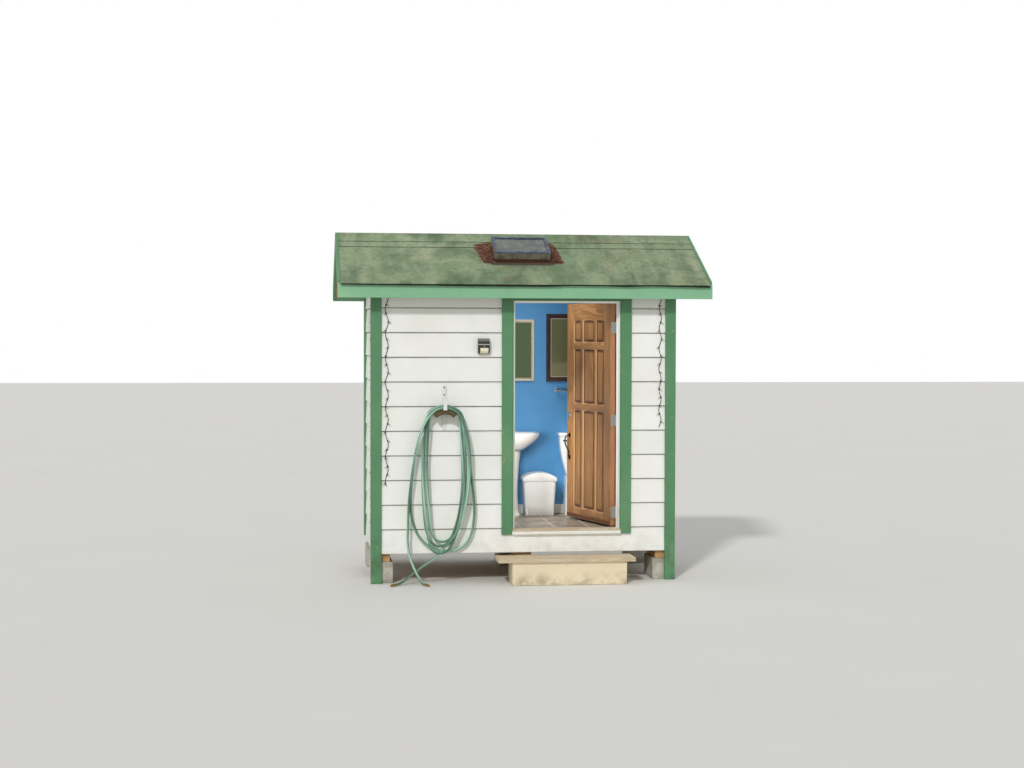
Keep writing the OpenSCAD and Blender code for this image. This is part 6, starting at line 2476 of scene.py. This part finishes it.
@dataclass(frozen=True)
class LightStrings:
    """Strings of small lamps down two corners and the left wall, clipped under the eaves.

    Each run is its top, the reach of its waves, its drop and its waves' pace.
    """

    step: float = 0.075
    runs: tuple[tuple[Point, Point, float, float], ...] = (
        ((-1.233, -0.7728, 2.600), (0.014, 0.0, 0.0), 1.733, 1.1),
        ((1.233, -0.7728, 2.600), (0.012, 0.0, 0.0), 1.222, 1.3),
        ((-1.3628, -0.480, 2.600), (0.0, 0.016, 0.0), 2.158, 1.2),
    )

    def line(self, start: Point, swing: Point, drop: float, turn: float) -> list[Vector]:
        """A wire's middle line down a wall.

        Args:
            start: its top.
            swing: the reach of its waves.
            drop: how far down it goes.
            turn: its waves' pace.

        Returns:
            The line's points.
        """
        made = []
        for s in spaced(0.0, drop, self.step / 3):
            stray = 0.2 * noise.noise(Vector((s * 9.0, turn, 0.0)))
            wave = 0.9 * math.sin(math.radians(s * 1500 * turn)) + stray
            made.append(Vector(start) + Vector(swing) * wave + Vector((0.0, HUT.shift, -s)))
        return made

    def build(self, shop: Workshop) -> None:
        """Strings the wires and sets a lamp at every step by rule."""
        wires, seeds, ways = Form(75), [], []
        for start, swing, drop, turn in self.runs:
            line = self.line(start, swing, drop, turn)
            wires.tube(line, 0.0029, 6)
            out = Vector((0.0, -0.25, 0.0) if start[1] < -0.7 else (-0.25, 0.0, 0.0))
            for k in range(2, len(line) - 1, 3):
                across = Vector(swing).normalized() * (1 if (k // 3) % 2 else -1)
                seeds.append(line[k] + across * 0.003)
                ways.append((across + out + Vector((0.0, 0.0, -0.45))).normalized())
        wire = Moulded("string wire", tone(40, 46, 32), tone(84, 84, 64), 0.3, 0.5)
        shop.set_down(
            "string_wires", wires, wire, "string_wire", replaces=["light_strings"], angle=60.0
        )
        bed = seedbed("string places", seeds, "facing", ways)
        rule = Rule("string lamps", Radius=0.0050, Length=0.034)
        wide, long = rule.size("Radius"), rule.size("Length")
        shape = {"Vertices": 8, "Radius": wide, "Depth": long * 0.5}
        socket = rule.node("GeometryNodeMeshCylinder", None, shape)
        shape = {"Radius Top": wide * 0.3, "Radius Bottom": wide * 0.8, "Depth": long * 0.6}
        bulb = rule.node("GeometryNodeMeshCone", None, {"Vertices": 8, **shape})
        lift = rule.node("ShaderNodeCombineXYZ", None, {2: long * 0.25})
        tip = rule.node("GeometryNodeTransform", None, {"Geometry": bulb, "Translation": lift})
        glass = Moulded("string bulbs", tone(214, 206, 170), tone(168, 160, 130), 0.5, 0.2)
        tip = rule.coat(tip, shop.coat(glass))
        lamp = rule.join(rule.coat(socket, shop.coat(wire)), tip)
        spread = {"Rotation": rule.aim(), "Scale": rule.chance(0.9, 1.1)}
        hung = rule.real(rule.scatter(rule.size("Geometry"), lamp, **spread))
        lamps = rule.grow("string_lamps", hung, bed)
        shop.set_down("string_lamps", lamps, None, "string_wire")


@dataclass(frozen=True)
class HoseHook:
    """A white strap whose arm lies in a bent block's crown and turns up before it.

    The block carries the hose.
    """

    x: float = -0.722
    low: float = 1.360
    top: float = 1.765
    width: float = 0.034
    thick: float = 0.006
    wall: float = -0.770
    arm: float = 1.5440
    reach: float = 0.1246
    prong: float = 1.640
    saddle: float = 1.400
    inner: float = 0.107
    outer: float = 0.150
    half: float = 0.105
    block: tuple[float, float] = (-0.8883, -0.7763)

    def plate(self, form: Form, low: float, high: float, back: float) -> None:
        """Draws an upright strip with a rounded top, its front face eased."""
        half, r, front = self.width / 2, 0.012, back - self.thick
        rings = []
        for depth, inset in ((back, 0.0), (front + 0.0014, 0.0), (front, 0.0014)):
            ring = [Vector((self.x + side * (half - inset), depth, low + inset)) for side in (-1, 1)]
            for side, start in ((1, 0), (-1, 90)):
                for k in range(6):
                    a = math.radians(start + 18 * k)
                    across = side * (half - r) + (r - inset) * math.cos(a)
                    ring.append(Vector((self.x + across, depth, high - r + (r - inset) * math.sin(a))))
            rings.append(ring)
        form.loft(rings)

    def cradle(self) -> Outline:
        """The block's outline: a piece of a round, cut square at its ends and notched for the arm."""
        notch = self.width / 2 + 0.0003
        end, lip = math.acos(self.half / self.outer), math.acos(notch / self.outer)
        rise = self.arm - self.saddle - 0.0003
        right = [end + (lip - end) * k / 9 for k in range(10)]
        made = [(self.outer * math.cos(v), self.outer * math.sin(v)) for v in right]
        made += [(notch, rise), (-notch, rise)]
        made += [(-self.outer * math.cos(v), self.outer * math.sin(v)) for v in reversed(right)]
        under = [end + (math.pi - 2 * end) * k / 18 for k in range(19)]
        made += [(-self.inner * math.cos(v), self.inner * math.sin(v)) for v in under]
        return [(self.x + across, self.saddle + up) for across, up in made]

    def build(self, shop: Workshop) -> None:
        """Makes the hook, its screws and the block."""
        form, y = Form(77), self.wall + HUT.shift
        tip = y - self.reach
        self.plate(form, self.low, self.top, y)
        self.plate(form, self.arm, self.prong, tip + self.thick)
        low = (self.x - self.width / 2, tip + 0.001, self.arm)
        high = (self.x + self.width / 2, y - 0.001, self.arm + self.thick)
        form.slab(low, high, Axis.Y, 0.06)
        paint = PaintedMetal("hook paint", tone(232, 233, 228), tone(140, 100, 70), 0.6, 0.35)
        edges = {"bevel": 0.0009, "angle": 30.0}
        shop.set_down("hook_bent", form, paint, "hook_paint", replaces=["hose_hook"], **edges)
        heights = (self.top - 0.022, self.top - 0.088)
        places = [((self.x, y - self.thick, z), (0.0, -1.0, 0.0)) for z in heights]
        screws = PaintedMetal("hook screws", tone(52, 48, 44), tone(110, 84, 64), 0.7, 0.45)
        shop.fixings("hook_screws", places, screws, "hook_paint", 0.0070, 0.0026)
        block = Form(78)
        front, back = (v + HUT.shift for v in self.block)
        block.prism(self.cradle(), Axis.Y, spaced(front, back, 0.02))
        weather = {"weather": tone(104, 96, 70), "grey": 0.5, "checks": 0.7}
        # The block's dark olive brown is painted shade from the hose's turns above it.
        wood = Timber("saddle timber", tone(98, 82, 50), tone(56, 46, 26), **weather)
        edges = {"bevel": 0.002, "angle": 30.0}
        shop.set_down("saddle_block", block, wood, "dark_timber", replaces=["hose_saddle"], **edges)


# --- The washroom -----------------------------------------------------------------------------


@dataclass(frozen=True)
class Basin:
    """The washbasin with its bowl, its pedestal and a single-lever tap."""

    x: float = 0.025
    wall: float = 0.690
    rim: float = 1.270
    middle: float = 0.240
    flat: float = 0.2396
    # Outside from below, over the rim and down into the bowl: height, half width, front, back, shift
    shell: tuple[tuple[float, float, float, float, float], ...] = (
        (-0.168, 0.112, 0.088, 0.130, 0.0), (-0.150, 0.142, 0.112, 0.170, 0.0),
        (-0.118, 0.188, 0.142, 0.214, 0.0), (-0.078, 0.234, 0.168, 0.238, 0.0),
        (-0.046, 0.262, 0.181, 0.2396, 0.0), (-0.024, 0.2765, 0.1880, 0.2396, 0.0),
        (-0.008, 0.2795, 0.1896, 0.2396, 0.0), (-0.002, 0.2780, 0.1885, 0.2390, 0.0),
        (-0.0004, 0.2735, 0.1850, 0.2350, 0.0), (-0.0006, 0.2420, 0.1560, 0.1300, -0.006),
        (-0.0045, 0.2340, 0.1490, 0.1200, -0.008), (-0.0200, 0.2240, 0.1400, 0.1100, -0.010),
        (-0.0550, 0.1930, 0.1180, 0.0960, -0.012), (-0.0850, 0.1450, 0.0880, 0.0760, -0.014),
        (-0.1030, 0.0850, 0.0540, 0.0480, -0.014), (-0.1090, 0.0300, 0.0220, 0.0220, -0.014),
        (-0.1100, 0.0160, 0.0160, 0.0160, -0.014),
    )

    def build(self, shop: Workshop) -> None:
        """Makes the basin, its drain, the pedestal and the tap."""
        form, layers = Form(81), []
        for z, w, front, back, shift in self.shell:
            square = 2.5 if z > -0.1 and back > 0.2 else 2.1
            outline = oval(w, front, back, square, 64)
            layers.append((z, [(x, min(y, self.flat) + shift) for x, y in outline]))
        form.stack(layers, (self.x, self.wall - self.middle, self.rim))
        shop.set_down("basin_shell", form, CHINA, "china", replaces=["washbasin"], angle=50.0)
        foot = Form(82)
        profile = [
            (0.0, 0.0), (0.1048, 0.0), (0.1048, 0.012), (0.1010, 0.019), (0.0960, 0.024),
            (0.0900, 0.034),
        ]
        for k in range(13):
            t = k / 12
            waist = 0.0270 * math.sin(math.pi * (0.1 + 0.9 * t) ** 0.8)
            profile.append((0.0990 - waist, 0.040 + t * 0.586))
        profile += [(0.1000, 0.6395), (0.0, 0.6395)]
        foot.turned(profile, (self.x, self.wall - 0.190, 0.460), sides=40)
        edges = {"bevel": 0.001, "angle": 40.0}
        shop.set_down("pedestal_turned", foot, CHINA, "china", replaces=["basin_pedestal"], **edges)
        self.tap(shop)

    def tap(self, shop: Workshop) -> None:
        """Makes the tap and the drain's ring."""
        form, at = Form(83), (self.x, self.wall - 0.075, self.rim)
        plate = []
        for z, inset in ((0.0, 0.0), (0.0035, 0.0), (0.0056, 0.0025), (0.0059, 0.006)):
            plate.append((z, oval(0.0695 - inset, 0.0215 - inset, 0.0215 - inset, 5.0, 40)))
        form.stack(plate, at)
        body = [
            (0.0, 0.004), (0.0205, 0.004), (0.0190, 0.010), (0.0166, 0.020), (0.0160, 0.052),
            (0.0168, 0.058), (0.0162, 0.061), (0.0150, 0.062), (0.0168, 0.063), (0.0160, 0.072),
            (0.0120, 0.0775), (0.0, 0.0778),
        ]
        form.turned(body, at, sides=28)
        x, y, z = at
        bends = (
            (0.008, 0.040), (0.034, 0.050), (0.068, 0.056), (0.094, 0.054), (0.107, 0.044),
            (0.110, 0.030),
        )
        spout = smooth_path([Vector((x, y - a, z + b)) for a, b in bends], 0.008)
        form.tube(spout, lambda share: 0.0112 - 0.0022 * share, 16)
        # The lever's rings: place along and up, half width and half thickness
        rings = (
            (0.002, 0.0765, 0.0060, 0.0040), (-0.012, 0.0785, 0.0066, 0.0038),
            (-0.034, 0.0790, 0.0070, 0.0030), (-0.052, 0.0790, 0.0078, 0.0026),
            (-0.0595, 0.0790, 0.0060, 0.0020),
        )
        form.loft([
            [Vector((x + w * c, y + dy, z + dz + t * s)) for c, s in wheel(14)]
            for dy, dz, w, t in rings
        ])
        cap = [(0.0068, 0.0), (0.0062, 0.0018), (0.0, 0.0026)]
        for side in (-1, 1):
            form.turned(cap, (x + side * 0.052, y, z + 0.0058), sides=14)
        edges = {"bevel": 0.0005, "angle": 40.0}
        shop.set_down("tap_set", form, CHROME, "chrome", replaces=["basin_tap"], **edges)
        ring = [(0.021, 0.0), (0.0215, 0.0010), (0.0195, 0.0020), (0.0150, 0.0012), (0.0, 0.0012)]
        sunk = (self.x, self.wall - self.middle - 0.014, self.rim - 0.1102)
        drain = Form(84).turned(ring, sunk, sides=28)
        shop.set_down("basin_drain", drain, CHROME, "china")


@dataclass(frozen=True)
class Hanging:
    """A framed piece on the back wall: a mitred, moulded frame round a sheet.

    Its middle, outer size, rim width and depth are in metres.
    """

    name: str
    node: str
    slot: str
    x: float
    z: float
    width: float
    height: float
    rim: float
    deep: float
    wood: Timber
    sheet: Silvering | PaintedSheet
    slip: Timber | None = None
    wall: float = 0.690

    def mitred(self, seed: int, profile: Outline, gap: float) -> Form:
        """Sweeps a moulding round the corners, a gap inside the outer size and half of it off the wall.

        Args:
            seed: seeds its form.
            profile: points of (inset from the outer size, distance from the wall).
            gap: what it stands clear by.

        Returns:
            The form.
        """
        form, rings = Form(seed), []
        for sx, sz in ((-1, -1), (1, -1), (1, 1), (-1, 1)):
            ring = []
            for inset, d in profile:
                x = self.x + sx * (self.width / 2 - inset - gap)
                z = self.z + sz * (self.height / 2 - inset - gap)
                ring.append(Vector((x, self.wall - d - gap / 2, z)))
            rings.append(ring)
        form.loft(rings, cyclic=True)
        for v in form.bm.verts:
            v[form.fibre] = Vector((v.co.x + v.co.z, v.co.y * 2, v.co.z * 0.1))
        return form

    def build(self, shop: Workshop) -> None:
        """Makes the frame, the slip that lines its inner side and the sheet."""
        r, t = self.rim, self.deep
        shares = (
            (0.0, 0.0), (0.0, 0.72), (0.08, 0.92), (0.22, 1.0), (0.42, 0.98), (0.55, 0.80),
            (0.78, 0.72), (0.90, 0.82), (1.0, 0.72), (1.0, 0.30), (0.8, 0.0),
        )
        rim = self.mitred(91, [(r * a, t * b) for a, b in shares], 0.0002)
        name, node, edges = f"{self.name}_frame", [self.node], {"bevel": 0.0006, "angle": 25.0}
        shop.set_down(name, rim, self.wood, self.slot, replaces=node, **edges)
        if self.slip:
            near, far, d = r * 0.66, r * 1.02, t * 0.84
            profile = [(near, d * 0.5), (near, d), (near + 0.001, d + 0.001), (far, d * 0.9), (far, d * 0.4)]
            slip = self.mitred(90, profile, 0.0)
            shop.set_down(f"{self.name}_slip", slip, self.slip, self.slot, angle=25.0)
        w, h = self.width / 2 - r * 0.93, self.height / 2 - r * 0.93
        low = (self.x - w, self.wall - t * 0.45, self.z - h)
        high = (self.x + w, self.wall - t * 0.32, self.z + h)
        pane = Form(92).slab(low, high, Axis.X, 0.4)
        shop.set_down(f"{self.name}_sheet", pane, self.sheet, self.slot)


@dataclass(frozen=True)
class TowelRail:
    """A chrome rail on two posts with roses."""

    x: float = 0.745
    z: float = 1.670
    span: float = 0.480
    wall: float = 0.690

    def build(self, shop: Workshop) -> None:
        """Makes the rail."""
        form, half, out = Form(93), self.span / 2, self.wall - 0.062
        post = [
            (0.0, 0.0), (0.0248, 0.0), (0.0250, 0.003), (0.0225, 0.0062), (0.0130, 0.0080),
            (0.0092, 0.0130), (0.0080, 0.0250), (0.0082, 0.0500), (0.0, 0.0505),
        ]
        ball = [(0.0, -0.0115), (0.0070, -0.0085), (0.0088, 0.0), (0.0070, 0.0085), (0.0, 0.0115)]
        for side in (-1, 1):
            form.turned(post, (self.x + side * half, self.wall, self.z), (0, -1, 0), 28)
            form.turned(ball, (self.x + side * half, out, self.z), (1, 0, 0), 20)
        start = Vector((self.x - half - 0.0118, out, self.z))
        stops = (0.0, 0.003, half, self.span + 0.0206, self.span + 0.0236)
        rail = [start + Vector((d, 0, 0)) for d in stops]
        form.tube(rail, lambda share: 0.0110 if 0.0 < share < 1.0 else 0.0084, 18)
        satin = Metal("rail chrome", tone(240, 242, 244), tone(206, 210, 214), 0.3, 0.42)
        shop.set_down("rail_chrome", form, satin, "chrome", replaces=["towel_rail"], angle=40.0)


@dataclass(frozen=True)
class Toilet:
    """The close-coupled toilet: pedestal and bowl, hinged seat and lid, tank, tank lid and lever."""

    x: float = 0.760
    wall: float = 0.690
    floor: float = 0.460
    middle: float = 0.350
    # Where the seat is cut before the tank, and the tank's reach behind its middle
    back: float = 0.1445
    reach: float = 0.0922

    def build(self, shop: Workshop) -> None:
        """Makes the toilet."""
        self.bowl(shop)
        self.seat(shop)
        self.tank(shop)

    def bowl(self, shop: Workshop) -> None:
        """Makes the pedestal, the bowl and the shroud behind it."""
        form = Form(95)
        # Height, half width, front and back, from the floor to the bowl's rim
        layers = (
            (0.0, 0.1205, 0.1185, 0.2580), (0.004, 0.1215, 0.1195, 0.2590), (0.036, 0.1212, 0.1192, 0.2590),
            (0.046, 0.1150, 0.1000, 0.2200), (0.062, 0.1115, 0.0895, 0.2090), (0.120, 0.1120, 0.0950, 0.2000),
            (0.180, 0.1180, 0.1180, 0.1900), (0.240, 0.1320, 0.1520, 0.1650), (0.290, 0.1470, 0.1870, 0.1500),
            (0.335, 0.1570, 0.2130, 0.1400), (0.352, 0.1594, 0.2190, 0.1395), (0.368, 0.1594, 0.2190, 0.1395),
            (0.376, 0.1580, 0.2175, 0.1380), (0.3798, 0.1520, 0.2110, 0.1320),
        )
        at = (self.x, self.wall - self.middle, self.floor)
        form.stack([(z, oval(w, front, back, 2.2, 56)) for z, w, front, back in layers], at)
        shroud = (
            (0.0, 0.1980), (0.004, 0.1990), (0.120, 0.1965), (0.240, 0.1930), (0.368, 0.1897),
            (0.376, 0.1885), (0.3798, 0.1840),
        )
        deep, at = 0.1048, (self.x, self.wall - 0.125, self.floor)
        form.stack([(z, oval(w, deep, deep, 9.0, 56)) for z, w in shroud], at)
        shop.set_down("bowl_china", form, CHINA, "china", replaces=["toilet_bowl"], angle=50.0)

    def seat(self, shop: Workshop) -> None:
        """Makes the hinged seat and its lid, cut straight before the tank."""
        form = Form(96)
        at = (self.x, self.wall - self.middle - 0.005, self.floor)
        # The seat and the lid: the foot of each, and its layers of height and inset
        leaves = (
            (0.3802, ((0.0, 0.0035), (0.003, 0.0005), (0.016, 0.0005), (0.0205, 0.0040))),
            (0.4016, (
                (0.0, 0.0060), (0.003, 0.0030), (0.0120, 0.0030), (0.0160, 0.0070), (0.0183, 0.0180),
            )),
        )
        for low, layers in leaves:
            made = []
            for z, inset in layers:
                ring = oval(0.163 - inset, 0.215 - inset, 0.215 - inset, 2.1, 56)
                made.append((low + z, [(x, min(y, self.back)) for x, y in ring]))
            form.stack(made, at)
        knob = [
            (0.0, 0.0), (0.0120, 0.001), (0.0128, 0.006), (0.0128, 0.034), (0.0120, 0.039),
            (0.0, 0.040),
        ]
        y, z = self.wall - 0.206, self.floor + 0.3935
        for side in (-1, 1):
            form.turned(knob, (self.x + side * 0.078 - 0.020, y, z), (1, 0, 0), 20)
        plastic = Moulded("toilet seat", tone(240, 240, 237), tone(206, 200, 184), 0.25, 0.2)
        shop.set_down("seat_and_lid", form, plastic, "china", angle=50.0)

    def tank(self, shop: Workshop) -> None:
        """Makes the tank, which widens upwards, its lid and its lever."""
        form = Form(97)
        base = (self.x, self.wall - 0.010 - 0.0925, self.floor + 0.380)
        sides = [(0.0002, 0.007), (0.004, 0.002)] + [(0.010 + 0.0475 * k, 0.0004) for k in range(9)]
        layers = []
        for z, inset in sides:
            share = math.sin(math.pi / 2 * min(1.0, max(0.0, (z - 0.010) / 0.370)))
            half, front = 0.180 + 0.070 * share - inset, 0.0725 + 0.020 * share - inset
            layers.append((z, oval(half, front, self.reach, 7.0, 56)))
        form.stack(layers, base)
        lid = []
        for z, inset in (
            (0.3900, 0.004), (0.3930, 0.0004), (0.4120, 0.0004), (0.4185, 0.003), (0.4214, 0.012),
            (0.4219, 0.030),
        ):
            back = self.reach - min(inset, 0.002)
            lid.append((z, oval(0.260 - inset, 0.1025 - inset, back, 8.0, 56)))
        form.stack(lid, base)
        shop.set_down("tank_china", form, CHINA, "china", replaces=["toilet_tank"], angle=50.0)
        lever = Form(98)
        x, y, z = self.x - 0.213, self.wall - 0.1915, self.floor + 0.727
        boss = [(0.0, 0.0), (0.0068, 0.0), (0.0068, 0.0070), (0.0058, 0.0100), (0.0050, 0.0130)]
        lever.turned(boss, (x, y, z), (0, -1, 0), 20)
        bends = ((-0.0010, 0.0), (0.014, 0.0), (0.034, -0.0004), (0.050, -0.0008))
        path = smooth_path([Vector((x + a, y - 0.0130, z + b)) for a, b in bends], 0.006)
        lever.tube(path, lambda share: 0.0038 + 0.0022 * share, 14)
        bronze = Metal("lever bronze", tone(70, 56, 44), tone(44, 36, 30), 0.6, 0.35)
        shop.set_down("tank_lever", lever, bronze, "china", angle=50.0)


@dataclass(frozen=True)
class Bin:
    """The white waste bin with a rolled rim and a bowed swing lid."""

    x: float = 0.308
    wall: float = 0.690
    floor: float = 0.460
    width: float = 0.330
    depth: float = 0.250
    height: float = 0.350
    taper: tuple[float, float] = (0.022, 0.014)
    spring: float = 0.016
    rise: float = 0.0536
    skirt: float = 0.334

    def arch(self, middle: float) -> Callable[[float], Outline]:
        """The lid's outline at a place along its depth, eased towards its two ends."""
        half, deep = self.width / 2 - 0.0004, self.depth / 2

        def outline(stop: float) -> Outline:
            """The arch's points."""
            ease = 0.0045 * max(0.0, 1.0 - (deep - abs(stop - middle)) / 0.005) ** 2
            w = half - ease
            low = self.floor + self.skirt + ease
            made = [(self.x - w, low), (self.x + w, low)]
            for k in range(17):
                x = w * (1.0 - k / 8)
                bow = self.rise * (1.0 - (x / w) ** 2) ** 0.8
                made.append((self.x + x, self.floor + self.height + self.spring + bow - ease))
            return made

        return outline

    def build(self, shop: Workshop) -> None:
        """Makes the bin and its lid."""
        form = Form(99)
        middle = self.wall - 0.020 - self.depth / 2
        body = []
        for share in (0.0, 0.012, 0.3, 0.6, 0.90, 0.955):
            extra = -0.0042 if share else -0.0090
            w = self.width / 2 - self.taper[0] * (1.0 - share) + extra
            d = self.depth / 2 - self.taper[1] * (1.0 - share) + extra
            body.append((share * self.height, oval(w, d, d, 9.0, 56)))
        form.stack(body, (self.x, middle, self.floor))
        plastic = Moulded("bin plastic", tone(246, 247, 243), tone(198, 194, 180), 0.3, 0.35)
        shop.set_down("bin_body", form, plastic, "bin_plastic", replaces=["waste_bin"], angle=50.0)
        lid, deep = Form(100), self.depth / 2
        ends = [0.0004, 0.0012, 0.0025, 0.005]
        stops = [middle - deep + e for e in ends] + [middle - 0.06, middle, middle + 0.06]
        stops += [middle + deep - e for e in reversed(ends)]
        lid.prism(self.arch(middle), Axis.Y, stops)
        shop.set_down("bin_lid", lid, plastic, "bin_plastic", angle=45.0)


MIRROR = Hanging(
    "mirror", "wall_mirror", "mirror_frame", 0.025, 2.060, 0.510, 0.600, 0.030, 0.022,
    Timber(
        "mirror wood", tone(240, 236, 222), tone(220, 210, 188), None, tone(206, 200, 184),
        0.2, 0.1, 0.4,
    ),
    Silvering(),
    Timber(
        "mirror slip", tone(206, 184, 146), tone(172, 146, 106), None, grey=0.1, checks=0.1,
        rough=0.4,
    ),
)
PICTURE = Hanging(
    "picture", "picture", "picture_frame", 0.745, 2.085, 0.690, 0.660, 0.042, 0.026,
    Timber(
        "picture wood", tone(82, 58, 56), tone(48, 32, 34), None, tone(88, 74, 70), 0.2, 0.2, 0.4
    ),
    PaintedSheet(),
)


def main() -> None:
    """Builds the scene, from the camera and the hose to the washroom and the light."""
    logging.basicConfig(level=logging.INFO, format="%(message)s")
    shop = Workshop()
    view = View()
    view.camera()
    HoseCoil().build(shop)
    parts = (
        Footings(), Floor(), Walls(), Siding(), Trim(), Roof(), Skylight(), Step(), Door(), WallLight(),
        LightStrings(), HoseHook(), Basin(), MIRROR, PICTURE, TowelRail(), Toilet(), Bin(),
    )
    for part in parts:
        part.build(shop)
    view.studio()


if __name__ == "__main__":
    main()
